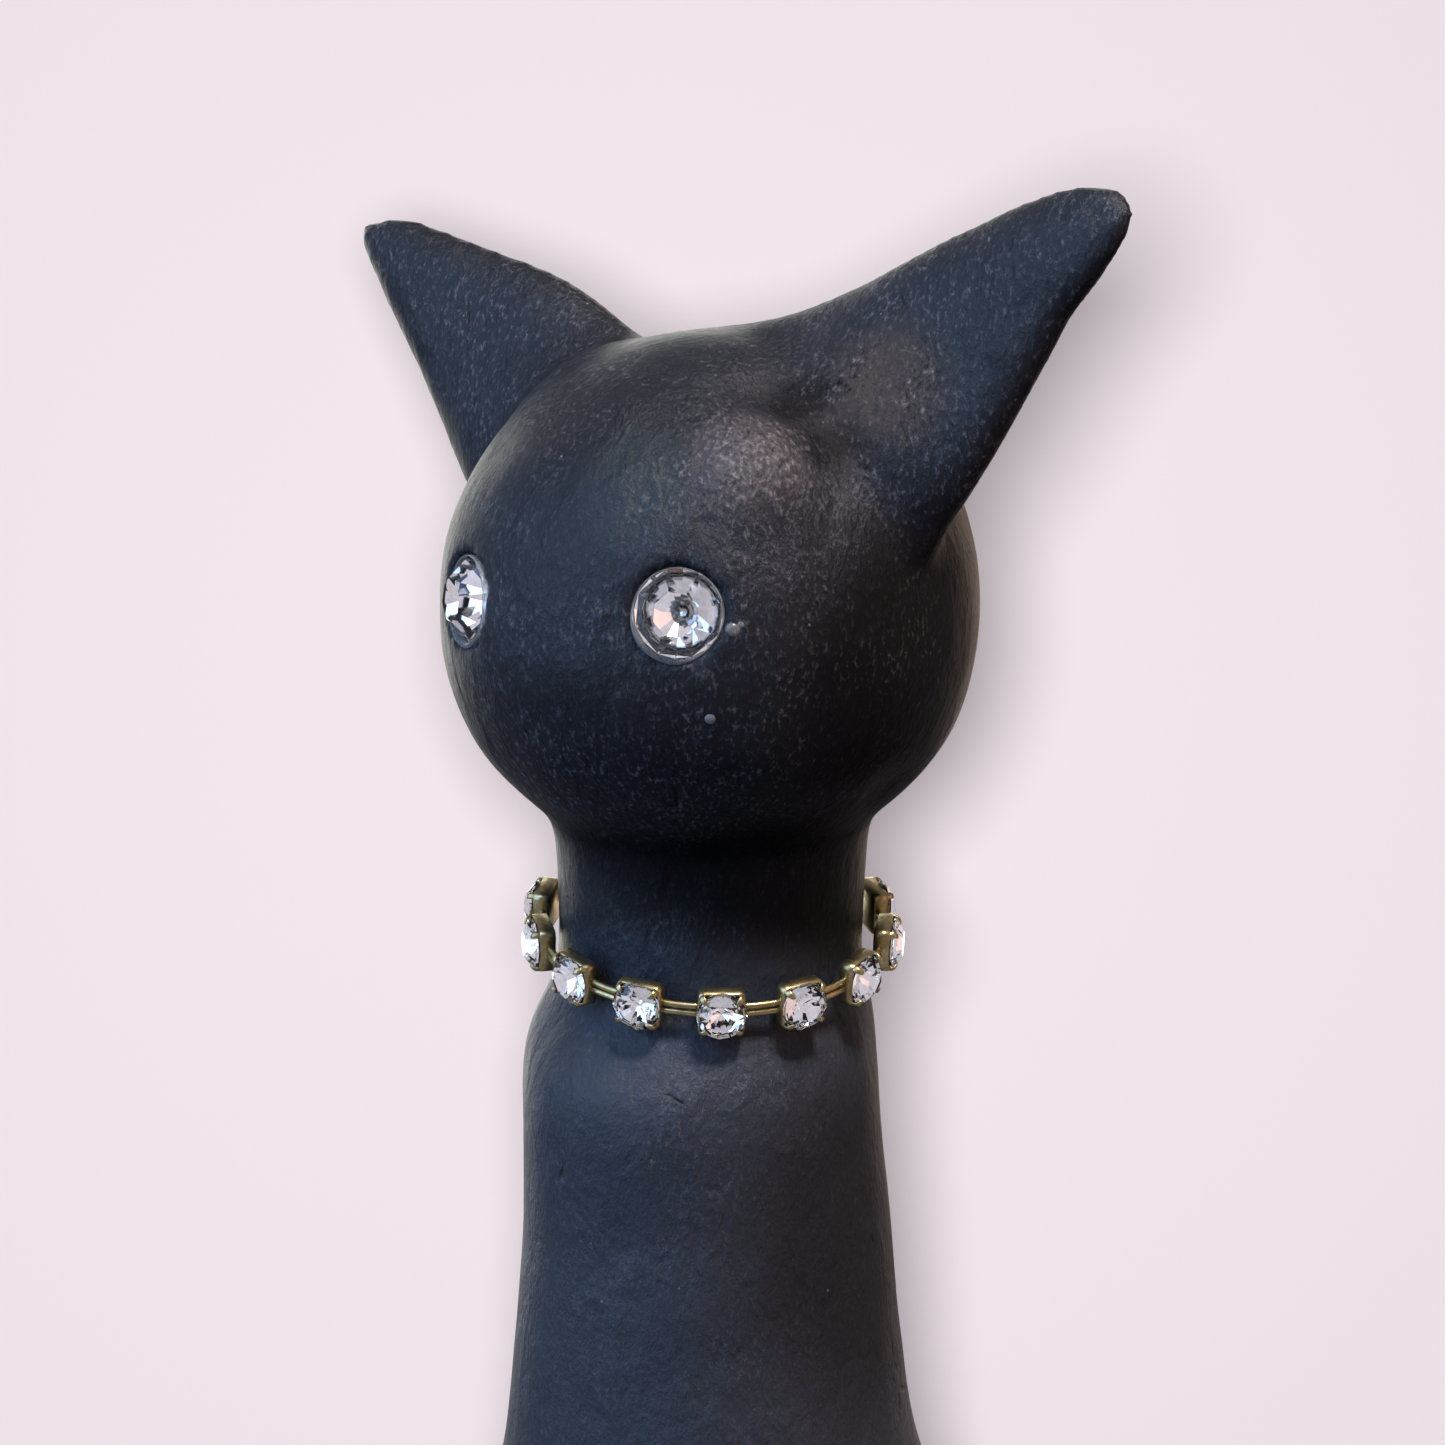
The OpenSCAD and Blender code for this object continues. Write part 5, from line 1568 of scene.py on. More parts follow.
@dataclass
class Collar:
    """Cup chain: foiled stones in square gilt cups with prongs, on double rails, with a clasp."""

    centre: tuple[float, float, float] = (0.0, -28.0, 81.9)
    slope_deg: float = 12.2
    low_deg: float = 46.5
    ring_r: float = 16.51
    cup: float = 4.6
    depth: float = 1.6
    wall: float = 0.34
    step_deg: float = 26.6
    first_deg: float = 42.2
    last: int = 6
    stone_r: float = 2.5
    stone_rise: float = 0.35
    crown: float = 0.95
    pavilion: float = 1.5
    prong: float = 0.42
    rail_r: float = 0.34
    rail_at: float = 0.42
    # Each stone is turned on from the one before
    spin_deg: float = 37.0
    # How far a rail runs into a cup or the clasp
    tuck_deg: float = 0.6
    clasp: tuple[float, float] = (4.2, 3.6)

    def plane(self) -> Matrix:
        """Finds the chain's sloping plane.

        Returns:
            The frame at the middle of the neck with z out of the plane.
        """
        swing = math.radians(self.low_deg - 90)
        return (
            Matrix.Translation(self.centre)
            @ Matrix.Rotation(swing, 4, "Z")
            @ Matrix.Rotation(math.radians(self.slope_deg), 4, "Y")
            @ Matrix.Rotation(-swing, 4, "Z")
        )

    def at(self, turn_deg: float) -> Matrix:
        """Returns a place on the chain, with x out of the neck."""
        return self.plane() @ Matrix.Rotation(math.radians(turn_deg - 90), 4, "Z")

    def stone_turns(self) -> list[float]:
        """Returns the turns of all stones."""
        return [self.first_deg + k * self.step_deg for k in range(-self.last, self.last + 1)]

    def add_cup(self, shape: Shape, seat: Matrix) -> None:
        """Adds one cup: a pressed square tray and four prongs bent over the stone.

        Args:
            shape: takes the cup.
            seat: its place on the chain, with x out of the neck.
        """
        half = self.cup / 2
        face = seat @ Matrix.Translation((self.ring_r, 0, 0)) @ Matrix.Rotation(math.pi / 2, 4, "Y")
        levels = (
            (half - 0.25, 0.0),
            (half, 0.25),
            (half, self.depth),
            (half - self.wall / 2, self.depth + 0.12),
            (half - self.wall, self.depth),
            (half - self.wall, 0.5),
        )
        rings = [
            [(x, y, z) for x, y in rounded_outline(side, -side, side, min(0.6, side * 0.3), 3)]
            for side, z in levels
        ]
        shape.loft(rings, face)
        for sx in (-1, 1):
            for sy in (-1, 1):
                self.add_prong(shape, face, sx, sy)

    def add_prong(self, shape: Shape, face: Matrix, sx: int, sy: int) -> None:
        """Adds one prong: a flat claw that rises at a corner and bends over the crown.

        Args:
            shape: takes the prong.
            face: the cup's back, with z out of the neck.
            sx: side of the corner along the face's x.
            sy: side of the corner along the face's y.
        """
        out = Vector((sx, sy, 0)).normalized()
        side = Vector((-out.y, out.x, 0))
        up = Vector((0, 0, 1))
        girdle = self.depth + self.stone_rise
        corner = self.stone_r + self.prong * 0.55
        # Distance from the stone's axis, height, half width and half thickness
        track = (
            (corner - 0.02, 0.6, 0.42, 0.2),
            (corner, self.depth, 0.4, 0.2),
            (corner + 0.02, girdle + 0.05, 0.36, 0.18),
            (corner - 0.14, girdle + 0.3, 0.32, 0.14),
            (corner - 0.46, girdle + 0.46, 0.26, 0.11),
            (corner - 0.68, girdle + 0.5, 0.1, 0.06),
        )
        rings = []
        for i, (r, h, wide, thick) in enumerate(track):
            before, after = track[max(i - 1, 0)], track[min(i + 1, len(track) - 1)]
            ahead = (out * (after[0] - before[0]) + up * (after[1] - before[1])).normalized()
            normal = side.cross(ahead)
            middle = out * r + up * h
            rings.append(
                [
                    middle + side * wide * math.cos(t) + normal * thick * math.sin(t)
                    for t in around(12)
                ]
            )
        shape.loft(rings, face)

    def add_rails(self, shape: Shape, start: float, end: float) -> None:
        """Adds the two rails of one link, pinched a little between the cups.

        Args:
            shape: takes the rails.
            start: turn where the link starts.
            end: turn where it ends.
        """
        ring, plane = self.ring_r + self.depth / 2, self.plane()
        for side in (-1, 1):
            path = []
            for share in (k / 8 for k in range(9)):
                turn = math.radians(start + (end - start) * share - 90)
                lift = side * self.rail_at * (1.0 - 0.06 * math.sin(math.pi * share))
                path.append(plane @ Vector((ring * math.cos(turn), ring * math.sin(turn), lift)))
            shape.tube(path, self.rail_r, 12)

    def build(self) -> None:
        """Makes cups, stones, rails and clasp."""
        cups, stones, rails = Shape(), Shape(), Shape()
        turns = self.stone_turns()
        for i, turn in enumerate(turns):
            seat = self.at(turn)
            self.add_cup(cups, seat)
            axis = (
                seat
                @ Matrix.Translation((self.ring_r + self.depth + self.stone_rise, 0, 0))
                @ Matrix.Rotation(math.pi / 2, 4, "Y")
                @ Matrix.Rotation(math.radians(self.spin_deg * i), 4, "Z")
            )
            add_chaton(stones, self.stone_r, self.crown, self.pavilion, axis)
        cup_deg = math.degrees(math.asin(self.cup / 2 / (self.ring_r + self.depth / 2)))
        clasp_deg = math.degrees(math.asin(self.clasp[0] / 2 / self.ring_r))
        edge, clasp_edge = cup_deg - self.tuck_deg, clasp_deg - self.tuck_deg
        for a, b in zip(turns, turns[1:]):
            self.add_rails(rails, a + edge, b - edge)
        clasp_turn = self.first_deg + 180
        self.add_rails(rails, turns[-1] + edge, clasp_turn - clasp_edge)
        self.add_rails(rails, clasp_turn + clasp_edge, turns[0] + 360 - edge)
        settle(cups.piece("chain_cups", Surface.GILT), "collar", "brass", "collar_cups")
        stone_piece = stones.piece("chain_chatons", Surface.CRYSTAL, Surface.FOIL, smooth=False)
        settle(stone_piece, "collar", "crystal", "collar_stones")
        settle(rails.piece("chain_rails", Surface.GILT), "collar", "brass", "collar_links")
        self.build_clasp(clasp_turn)

    def build_clasp(self, turn: float) -> None:
        """Makes the fold-over clasp with its rivet.

        Args:
            turn: its turn on the chain.
        """
        wide, tall = self.clasp
        seat = self.at(turn) @ Matrix.Translation((self.ring_r, 0, 0))
        face = seat @ Matrix.Rotation(math.pi / 2, 4, "Y")
        top = self.depth
        levels = ((0.92, 0.0), (1.0, 0.2), (1.0, top - 0.3), (0.9, top))
        rings = []
        for share, z in levels:
            x, y = tall / 2 * share, wide / 2 * share
            rings.append([(px, py, z) for px, py in rounded_outline(x, -y, y, 0.5, 4)])
        shape = Shape()
        shape.loft(rings, face)
        rivet = [(0.9, top - 0.1), (0.88, top + 0.25), (0.6, top + 0.5), (0.05, top + 0.6)]
        shape.lathe(rivet, 24, face)
        settle(shape.piece("chain_clasp", Surface.GILT), "collar", "brass", "collar_clasp")


@dataclass(frozen=True)
class Hand:
    """A leaf hand with a raised ridge and a turned hub.

    It has the name of the piece, its body and solid, the clockwise turn from twelve at rest, its
    reach and width, the radius of its shaft and the height of its back above the case's front.
    """

    name: str
    body: str
    node: str
    turn_deg: float
    length: float
    wide: float
    shaft_r: float
    back: float
    hub_wall: float = 1.2
    thick: float = 0.6

    def build(self) -> None:
        """Makes the hand."""
        spin = MOVEMENT @ Matrix.Rotation(-math.radians(self.turn_deg), 4, "Z")
        shape = Shape()
        # Half width, and share of the length
        half = (
            (0.8, 0.0), (0.55, 0.45), (0.75, 0.5),
            (self.wide / 2, 0.62), (self.wide * 0.36, 0.78), (0.03, 1.0),
        )
        back, top = self.back, self.back + self.thick
        rings = []
        for x, share in half:
            y = max(share * self.length, self.shaft_r + 0.5)
            ridge = top if x > 0.1 else back + 0.35
            section = (
                (-x, back), (x, back), (x, back + 0.28),
                (x * 0.12, ridge), (-x * 0.12, ridge), (-x, back + 0.28),
            )
            rings.append([(px, y, z) for px, z in section])
        shape.loft(rings, spin)
        bore, rim = self.shaft_r + 0.05, self.shaft_r + self.hub_wall
        hub = [(bore, back), (rim, back), (rim, back + 0.42), (rim - 0.2, top), (bore, top)]
        shape.lathe(hub, 48, spin, looped=True)
        settle(shape.piece(self.name, Surface.BRASS, smooth=False), self.body, "brass", self.node)


@dataclass
class Dial:
    """Dial furniture: numerals, minute track, studs, hands, bezel and domed glass."""

    plate_front: float = 8.0
    numeral_r: float = 22.0
    numeral_size: float = 5.6
    track_r: tuple[float, float] = (26.0, 27.4)
    stud_ring: float = 29.1
    stud_r: float = 0.8
    bezel_r: float = 33.0
    bezel_in: float = 31.7
    glass_edge: float = 15.8
    glass_t: float = 1.1
    glass_dome: float = 1.8
    glass_rise: float = 1.6
    bezel_top: float = 18.3
    ink_mm: float = 0.03
    hands: tuple[Hand, ...] = (
        Hand("hour_leaf", "hour", "hour_hand", 305.0, 18.0, 3.4, 2.5, 12.2),
        Hand("minute_leaf", "minute", "minute_hand", 60.0, 26.0, 2.6, 1.5, 14.0),
    )

    def build(self) -> None:
        """Makes and sets all the dial's furniture."""
        self.build_numerals()
        self.build_track()
        self.build_studs()
        for hand in self.hands:
            hand.build()
        self.build_bezel()
        self.build_glass()

    def build_numerals(self) -> None:
        """Sets the twelve upright numerals as thin raised ink."""
        mesh = bmesh.new()
        for hour in range(1, 13):
            text = bpy.data.curves.new(f"numeral_{hour}", "FONT")
            text.body = str(hour)
            text.size = self.numeral_size * MM
            text.align_x, text.align_y = "CENTER", "CENTER"
            text.extrude = self.ink_mm * MM
            carrier = add_object(text.name, text)
            graph = bpy.context.evaluated_depsgraph_get()
            drawn = bpy.data.meshes.new_from_object(carrier.evaluated_get(graph))
            turn = math.radians(hour * 30)
            at = Vector((math.sin(turn), math.cos(turn), 0)) * self.numeral_r
            at.z = self.plate_front + self.ink_mm
            place = MOVEMENT.copy()
            place.translation = (MOVEMENT @ at) * MM
            drawn.transform(place)
            mesh.from_mesh(drawn)
            bpy.data.objects.remove(carrier)
        made = bpy.data.meshes.new("dial_numerals")
        mesh.to_mesh(made)
        mesh.free()
        dress(made, Surface.INK)
        settle(add_object("dial_numerals", made), "figure", "dial_enamel")

    def build_track(self) -> None:
        """Prints the minute track: a stroke for each minute, longer and broader at the hours."""
        shape = Shape()
        for minute in range(60):
            at_hour = minute % 5 == 0
            inner, outer = self.track_r[0] - (0.3 if at_hour else 0.0), self.track_r[1]
            wide = 0.3 if at_hour else 0.12
            spin = MOVEMENT @ Matrix.Rotation(-math.radians(minute * 6), 4, "Z")
            outline = [(-wide, inner), (wide, inner), (wide, outer), (-wide, outer)]
            shape.prism(outline, self.plate_front, self.plate_front + 0.05, spin)
        settle(shape.piece("minute_track", Surface.INK, smooth=False), "figure", "dial_enamel")

    def build_studs(self) -> None:
        """Sets twelve domed brass studs."""
        shape = Shape()
        front = self.plate_front
        profile = [
            (self.stud_r, front),
            *quarter_round((0.0, front + 0.12), self.stud_r, 0.38, 6),
            (0.02, front + 0.5),
        ]
        for turn in around(12):
            at = (self.stud_ring * math.sin(turn), self.stud_ring * math.cos(turn), 0)
            shape.lathe(profile, 24, MOVEMENT @ Matrix.Translation(at))
        settle(shape.piece("hour_stud_domes", Surface.BRASS), "figure", "brass", "hour_studs")

    def build_bezel(self) -> None:
        """Turns the bezel: a straight wall, a rolled lip and a fine groove."""
        top, out, inner = self.bezel_top, self.bezel_r, self.bezel_in
        rest = self.glass_edge + self.glass_t + 0.05
        wide, high = 1.7, 1.5
        profile = [
            (inner, 7.0),
            (out, 7.0),
            (out, 13.2),
            (out - 0.25, 13.4),
            (out - 0.25, 13.8),
            (out, 14.0),
            *quarter_round((out - wide, top - high), wide, high, 10),
            (out - wide, top),
            (inner - 1.2, top - 0.4),
            (inner - 2.0, top - 1.0),
            (inner - 2.0, rest),
            (inner, rest),
        ]
        shape = Shape()
        shape.lathe(profile, 192, MOVEMENT, looped=True)
        bezel = shape.piece("turned_bezel", Surface.BRASS)
        bezel.data.set_sharp_from_angle(angle=math.radians(40))
        settle(bezel, "figure", "brass", "dial_bezel")

    def build_glass(self) -> None:
        """Grinds the watch glass: a flat edge under the lip and a low dome."""
        edge, dome_r, steps = self.bezel_in - 0.05, self.bezel_in - 2.2, 24
        under, over = self.glass_edge, self.glass_edge + self.glass_t
        shares = [k / steps for k in range(steps + 1)]
        faces = [
            [(max(dome_r * s, 0.02), base + rise * (1 - s**2)) for s in shares]
            for base, rise in ((under, self.glass_dome - self.glass_t), (over, self.glass_rise))
        ]
        profile = [*faces[0], (edge, under), (edge, over), *reversed(faces[1])]
        shape = Shape()
        shape.lathe(profile, 128, MOVEMENT)
        settle(shape.piece("watch_glass", Surface.GLASS), "figure", "watch_glass", "dial_glass")


@dataclass(frozen=True)
class Rounded:
    """A CAD solid whose hard edges are broken, as moulding and plating leave them."""

    node: str
    name: str
    surface: Surface
    slot: str
    body: str
    bevel_mm: float


ROUNDED_NODES = (
    Rounded("rear_cover", "moulded_rear_cover", Surface.ABS, "black_plastic", "figure", 0.3),
    Rounded("movement_case", "moulded_case", Surface.ABS, "black_plastic", "figure", 0.25),
    Rounded("setting_knob", "ribbed_setting_knob", Surface.ACETAL, "cream_plastic", "knob", 0.15),
    Rounded("case_screws", "cover_screws", Surface.STEEL, "steel", "figure", 0.12),
    Rounded("hanger_plate", "keyhole_plate", Surface.STEEL, "steel", "figure", 0.15),
    Rounded("hanger_screws", "plate_screws", Surface.STEEL, "steel", "figure", 0.1),
    Rounded("mounting_nut", "hex_nut", Surface.BRASS, "brass", "figure", 0.2),
    Rounded("hand_nut", "hand_cap_nut", Surface.BRASS, "brass", "minute", 0.2),
)


def round_solid(nodes: dict[str, bpy.types.Object], plan: Rounded) -> None:
    """Copies a solid's mesh, merges its flat faces and rounds its edges.

    Args:
        nodes: the CAD objects by node.
        plan: which solid, and how.
    """
    mesh = bmesh.new()
    mesh.from_mesh(nodes[plan.node].data)
    bmesh.ops.remove_doubles(mesh, verts=mesh.verts, dist=1e-7)
    bmesh.ops.dissolve_limit(
        mesh, angle_limit=math.radians(0.5), verts=mesh.verts, edges=mesh.edges
    )
    made_mesh = bpy.data.meshes.new(plan.name)
    mesh.to_mesh(made_mesh)
    mesh.free()
    dress(made_mesh, plan.surface)
    made = add_object(plan.name, made_mesh)
    made_mesh.polygons.foreach_set("use_smooth", [True] * len(made_mesh.polygons))
    crease(made, 35.0, plan.bevel_mm)
    settle(made, plan.body, plan.slot, plan.node)


@dataclass
class RearParts:
    """What shows at the back besides the rounded solids: the cell and the wall bumpers."""

    cell_r: float = 7.1
    cell_len: float = 50.5
    # Share of the cell's length where the slate sleeve ends and the pale band starts
    band_from: float = 0.72
    bumper_r: float = 2.4

    def build(self) -> None:
        """Makes the cell and the bumpers."""
        self.build_cell()
        self.build_bumpers()

    def build_cell(self) -> None:
        """Makes the cell: crimped steel ends, a slate sleeve with a pale band, and the button."""
        low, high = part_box("battery")
        middle = (low + high) / (2 * MM)
        axis = Matrix.Translation((middle.x, middle.y, low.z / MM))
        r, end = self.cell_r, self.cell_len
        band = end * self.band_from
        # Steel bottom, slate sleeve, pale band and steel button, each with its finish
        turned = (
            (
                2,
                [
                    (0.1, 0.15), (4.6, 0.15), (5.0, 0.0),
                    (r - 0.9, 0.0), (r - 0.3, 0.35), (r - 0.35, 0.9),
                ],
            ),
            (0, [(r - 0.6, 0.45), (r - 0.12, 0.5), (r, 0.8), (r, band), (r - 0.02, band + 0.05)]),
            (
                1,
                [
                    (r - 0.02, band + 0.05), (r, band + 0.1), (r, end - 2.4),
                    (r - 0.3, end - 1.6), (r - 1.1, end - 1.3), (r - 1.2, end - 1.5),
                ],
            ),
            (
                2,
                [
                    (r - 1.0, end - 1.6), (3.6, end - 1.5), (2.75, end - 1.3),
                    (2.7, end - 0.3), (2.4, end), (0.1, end),
                ],
            ),
        )
        shape = Shape()
        for mark, profile in turned:
            shape.lathe(profile, 64, axis, mark)
        cell = shape.piece("dry_cell", Surface.SLEEVE, Surface.BAND, Surface.STEEL)
        cell.data.set_sharp_from_angle(angle=math.radians(45))
        settle(cell, "battery", "battery_label", "battery")

    def build_bumpers(self) -> None:
        """Makes the two rubber bumpers with rounded rims."""
        low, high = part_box("wall_bumpers")
        shape, r = Shape(), self.bumper_r
        profile = [(r, -2.0), (r, -0.6), (r - 0.05, -0.3), (r - 0.4, -0.02), (r - 1.0, 0.0)]
        for x in (low.x / MM + r, high.x / MM - r):
            seat = Matrix.Translation((x, 0, (low.z + high.z) / (2 * MM))) @ WALL
            shape.lathe(profile, 32, seat)
        settle(shape.piece("rubber_bumpers", Surface.RUBBER), "figure", "rubber", "wall_bumpers")


@dataclass(frozen=True)
class Lamp:
    """A soft box that looks at the figure from a bearing."""

    name: str
    turn_deg: float
    rise_deg: float
    distance_mm: float
    size_mm: tuple[float, float]
    watts: float
    colour: str


def seen_backdrop(tree: bpy.types.NodeTree, gloss_share: float) -> bpy.types.NodeSocket:
    """Says how far a ray sees the pale backdrop: the eye and glass in full, gloss in part.

    Args:
        tree: node tree of the world or the floor.
        gloss_share: share for gloss, since the room in front of the figure is darker than paper.

    Returns:
        The share, from 0 to 1.
    """
    path = add_node(tree, "LightPath")
    gloss = add_node(
        tree, "Math", {"operation": "MULTIPLY", 1: gloss_share}, {0: path.outputs["Is Glossy Ray"]}
    ).outputs[0]
    clear = add_node(
        tree,
        "Math",
        {"operation": "MAXIMUM"},
        {0: path.outputs["Is Camera Ray"], 1: path.outputs["Is Transmission Ray"]},
    ).outputs[0]
    return add_node(tree, "Math", {"operation": "MAXIMUM"}, {0: clear, 1: gloss}).outputs[0]


def end_paper(tree: bpy.types.NodeTree, front: bpy.types.NodeSocket) -> None:
    """Ends a paper's nodes: its front as drawn, and clear from behind, so that it hides no view.

    Args:
        tree: the paper's node tree.
        front: shader of its front.
    """
    clear = add_node(tree, "BsdfTransparent").outputs[0]
    behind = add_node(tree, "NewGeometry").outputs["Backfacing"]
    both = add_node(tree, "MixShader", None, {0: behind, 1: front, 2: clear}).outputs[0]
    add_node(tree, "OutputMaterial", None, {"Surface": both})


def add_sheet(name: str, paper: str, half_mm: float, height_mm: float = 0.0) -> bpy.types.Object:
    """Lays a level square of paper.

    Args:
        name: the sheet's name.
        paper: name of its material, whose nodes are still to be drawn.
        half_mm: half its side.
        height_mm: its height.

    Returns:
        The sheet.
    """
    half, z = half_mm * MM, height_mm * MM
    corners = [(-half, -half, z), (half, -half, z), (half, half, z), (-half, half, z)]
    mesh = bpy.data.meshes.new(name)
    mesh.from_pydata(corners, [], [(0, 1, 2, 3)])
    material = bpy.data.materials.new(paper)
    material.use_nodes = True
    material.node_tree.nodes.clear()
    mesh.materials.append(material)
    sheet = add_object(name, mesh)
    return sheet


@dataclass
class Studio:
    """Camera, soft boxes, world, floor, and the card that takes the figure's shadow."""

    turn_deg: float = 39.0
    rise_deg: float = 13.0
    distance_mm: float = 450.0
    frame_mm: float = 144.5
    aim: tuple[float, float, float] = (0.816, -27.34, 103.2)
    sensor_mm: float = 36.0
    backdrop: str = "#f0e5eb"
    sky: str = "#f4f4f6"
    ambient: float = 0.03
    gloss_share: float = 0.18
    floor_bounce: str = "#6f6c6e"
    floor_glow: float = 0.985
    floor_z_mm: float = -232.0
    floor_half_mm: float = 6000.0
    card_back_mm: float = 107.0
    card_half_mm: float = 330.0
    card_fade_mm: tuple[float, float] = (95.0, 230.0)
    card_shade: float = 0.68
    flash_offset_mm: tuple[float, float] = (-13.5, 9.0)
    flash_mm: float = 70.0
    lamps: tuple[Lamp, ...] = (
        Lamp("left_window", -32.0, 16.0, 850.0, (900.0, 900.0), 7.0, "#9ac3f6"),
        Lamp("front_skylight", 2.0, 42.0, 900.0, (600.0, 400.0), 2.1, "#9cc0ff"),
        Lamp("top_window", 66.0, 66.0, 760.0, (150.0, 150.0), 7.0, "#fbf0f0"),
        Lamp("right_fill", 105.0, 4.0, 1000.0, (600.0, 900.0), 1.2, "#ffae74"),
        Lamp("right_rear_panel", 198.0, -4.0, 1000.0, (400.0, 800.0), 1.2, "#ffdcc0"),
        Lamp("rear_fill", 232.0, -6.0, 1000.0, (900.0, 900.0), 8.0, "#f0f0e6"),
    )

    def build(self) -> None:
        """Sets up camera, lamps, world and floor."""
        self.set_camera()
        spared = self.set_card()
        for lamp in self.lamps:
            self.set_lamp(lamp, spared)
        self.set_world()
        self.set_floor()
        bpy.context.scene.view_settings.view_transform = "Standard"

    def stand_off(self, thing: bpy.types.Object, back: Vector, distance_mm: float) -> None:
        """Stands a camera or lamp off from the aim and turns it there.

        Args:
            thing: the camera or lamp.
            back: direction from the aim to it.
            distance_mm: how far off it stands.
        """
        thing.location = (Vector(self.aim) + back * distance_mm) * MM
        thing.rotation_mode = "QUATERNION"
        thing.rotation_quaternion = (-back).to_track_quat("-Z", "Y")

    def set_camera(self) -> None:
        """Stands the camera where the photograph was taken."""
        camera = add_object("camera", bpy.data.cameras.new("camera"))
        self.stand_off(camera, bearing(self.turn_deg, self.rise_deg), self.distance_mm)
        camera.data.sensor_width = self.sensor_mm
        camera.data.lens = self.sensor_mm * self.distance_mm / self.frame_mm
        camera.data.clip_start, camera.data.clip_end = 0.01, 50.0
        bpy.context.scene.camera = camera

    def set_lamp(self, lamp: Lamp, spared: bpy.types.Collection) -> None:
        """Hangs one soft box and turns it to the figure.

        Args:
            lamp: the soft box.
            spared: what it doesn't light.
        """
        light = bpy.data.lights.new(lamp.name, "AREA")
        light.shape = "RECTANGLE"
        light.size, light.size_y = (s * MM for s in lamp.size_mm)
        light.energy = lamp.watts
        light.color = linear(lamp.colour)[:3]
        hung = add_object(lamp.name, light)
        self.stand_off(hung, bearing(lamp.turn_deg, lamp.rise_deg), lamp.distance_mm)
        hung.visible_camera = False
        hung.light_linking.receiver_collection = spared

    def set_world(self) -> None:
        """Lights softly all round, and shows the pale backdrop to the eye, metal and glass."""
        world = bpy.data.worlds.new("pale_room")
        world.use_nodes = True
        tree = world.node_tree
        tree.nodes.clear()
        seen = seen_backdrop(tree, self.gloss_share)
        glow = add_node(
            tree, "Background", {"Color": linear(self.sky), "Strength": self.ambient}
        ).outputs[0]
        pale = add_node(
            tree, "Background", {"Color": linear(self.backdrop), "Strength": 1.0}
        ).outputs[0]
        both = add_node(tree, "MixShader", None, {0: seen, 1: glow, 2: pale}).outputs[0]
        add_node(tree, "OutputWorld", None, {"Surface": both})
        bpy.context.scene.world = world

    def set_floor(self) -> None:
        """Lays a pale floor below the tail that keeps a faint shadow."""
        floor = add_sheet("floor", "pale_paper_sweep", self.floor_half_mm, self.floor_z_mm)
        tree = floor.data.materials[0].node_tree
        seen = seen_backdrop(tree, self.gloss_share)
        share = add_node(
            tree, "Math", {"operation": "MULTIPLY", 1: self.floor_glow}, {0: seen}
        ).outputs[0]
        camera = add_node(tree, "LightPath").outputs["Is Camera Ray"]
        tone = add_node(
            tree,
            "Mix",
            {"data_type": "RGBA", 6: linear(self.floor_bounce), 7: linear(self.backdrop)},
            {0: camera},
        ).outputs[2]
        matt = add_node(tree, "BsdfDiffuse", None, {"Color": tone}).outputs[0]
        glow = add_node(
            tree, "Emission", {"Color": linear(self.backdrop), "Strength": 1.0}
        ).outputs[0]
        end_paper(
            tree, add_node(tree, "MixShader", None, {0: share, 1: matt, 2: glow}).outputs[0]
        )

    def set_card(self) -> bpy.types.Collection:
        """Stands a paper card behind the figure that keeps the soft shadow of the flash.

        Returns:
            The collection that leaves the card out of the other lamps' light.
        """
        back = bearing(self.turn_deg, self.rise_deg)
        stand = back.to_track_quat("Z", "Y")
        card = add_sheet("shadow_card", "pale_card_paper", self.card_half_mm)
        self.draw_card(card.data.materials[0].node_tree)
        card.rotation_mode = "QUATERNION"
        card.rotation_quaternion = stand
        card.location = (Vector(self.aim) - back * self.card_back_mm) * MM
        card.visible_diffuse = card.visible_glossy = card.visible_transmission = False
        card.visible_shadow = False
        self.set_flash(card, back, stand)
        spared = bpy.data.collections.new("spared_by_soft_boxes")
        spared.objects.link(card)
        spared.collection_objects[0].light_linking.link_state = "EXCLUDE"
        return spared

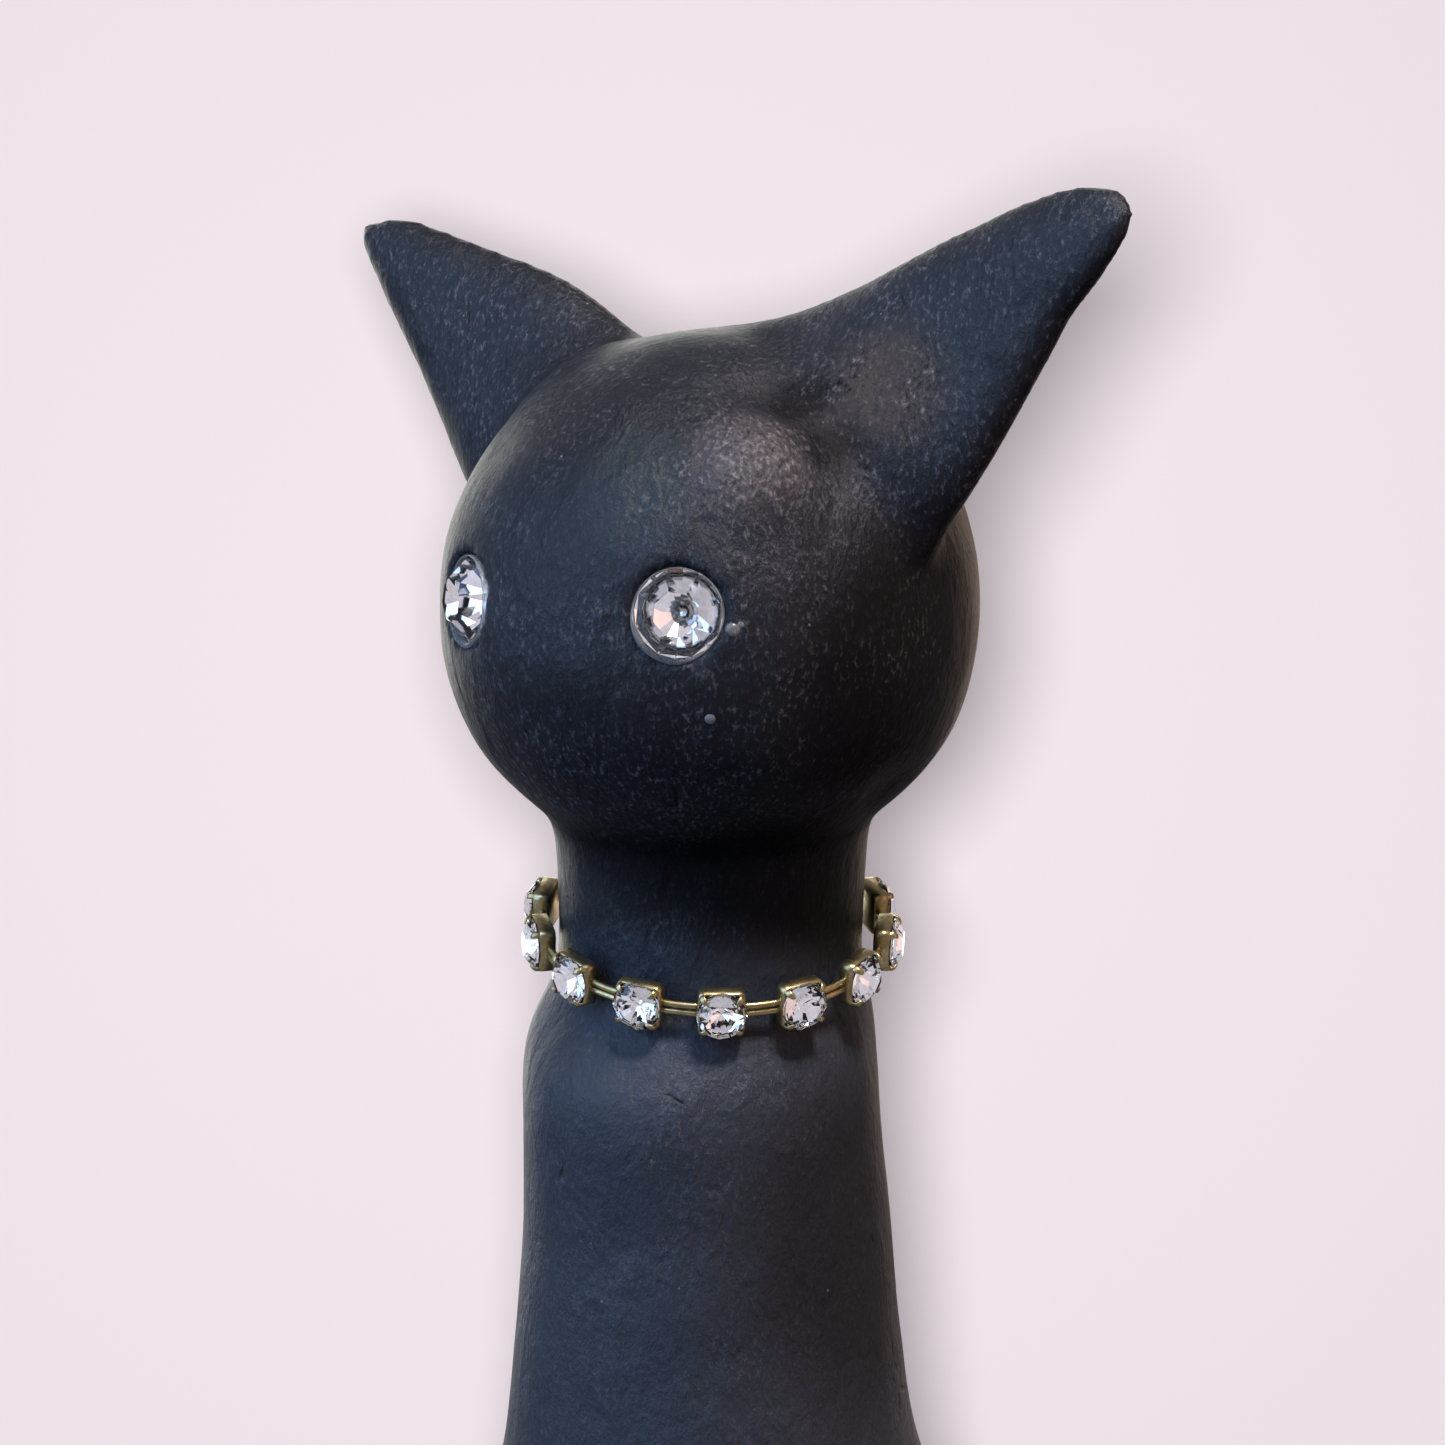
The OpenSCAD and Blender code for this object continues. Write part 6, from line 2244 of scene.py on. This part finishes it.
    def set_flash(self, card: bpy.types.Object, back: Vector, stand: Quaternion) -> None:
        """Hangs the flash beside the camera; it lights the card only, to a plain paper white.

        Args:
            card: the card that takes the light.
            back: direction from the figure to the camera.
            stand: how the card is turned.
        """
        light = bpy.data.lights.new("card_flash", "AREA")
        light.shape = "DISK"
        light.size = self.flash_mm * MM
        # At this power white paper at the card's distance comes out as white
        light.energy = (math.pi * (self.distance_mm + self.card_back_mm) * MM) ** 2
        hung = add_object("card_flash", light)
        self.stand_off(hung, back, self.distance_mm)
        hung.location += stand @ Vector((*self.flash_offset_mm, 0.0)) * MM
        hung.visible_camera = False
        lit = bpy.data.collections.new("lit_by_card_flash")
        lit.objects.link(card)
        hung.light_linking.receiver_collection = lit

    def draw_card(self, tree: bpy.types.NodeTree) -> None:
        """Draws the card's paper: shaded in the middle and fading into the backdrop.

        Args:
            tree: the paper's node tree.
        """
        place = add_node(tree, "TexCoord").outputs["Object"]
        away = add_node(tree, "VectorMath", {"operation": "LENGTH"}, {0: place}).outputs["Value"]
        near, far = (r * MM for r in self.card_fade_mm)
        share = add_node(
            tree,
            "MapRange",
            {"interpolation_type": "SMOOTHSTEP", 1: near, 2: far, 3: self.card_shade, 4: 0.0},
            {0: away},
        ).outputs[0]
        glow = add_node(
            tree, "Emission", {"Color": linear(self.backdrop), "Strength": 1.0}
        ).outputs[0]
        matt = add_node(tree, "BsdfDiffuse", {"Color": linear(self.backdrop)}).outputs[0]
        end_paper(
            tree, add_node(tree, "MixShader", None, {0: share, 1: glow, 2: matt}).outputs[0]
        )


def main() -> None:
    """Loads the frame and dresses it."""
    logging.basicConfig(level=logging.INFO, format="%(name)s: %(message)s")
    for old in list(bpy.data.objects):
        bpy.data.objects.remove(old)
    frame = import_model()
    Studio().build()
    builders: tuple[Callable[[], None], ...] = (
        ClayFigure().build,
        Tail().build,
        *(eye.build for eye in EYES),
        build_glue,
        Collar().build,
        Dial().build,
        RearParts().build,
    )
    for build in builders:
        build()
    for plan in ROUNDED_NODES:
        round_solid(frame["nodes"], plan)
    for name, surface in CAD_FINISHES.items():
        dress(frame["nodes"][name].data, surface)
        LOG.info("%s keeps its solid, in %s", name, surface.value.name)


if __name__ == "__main__":
    main()
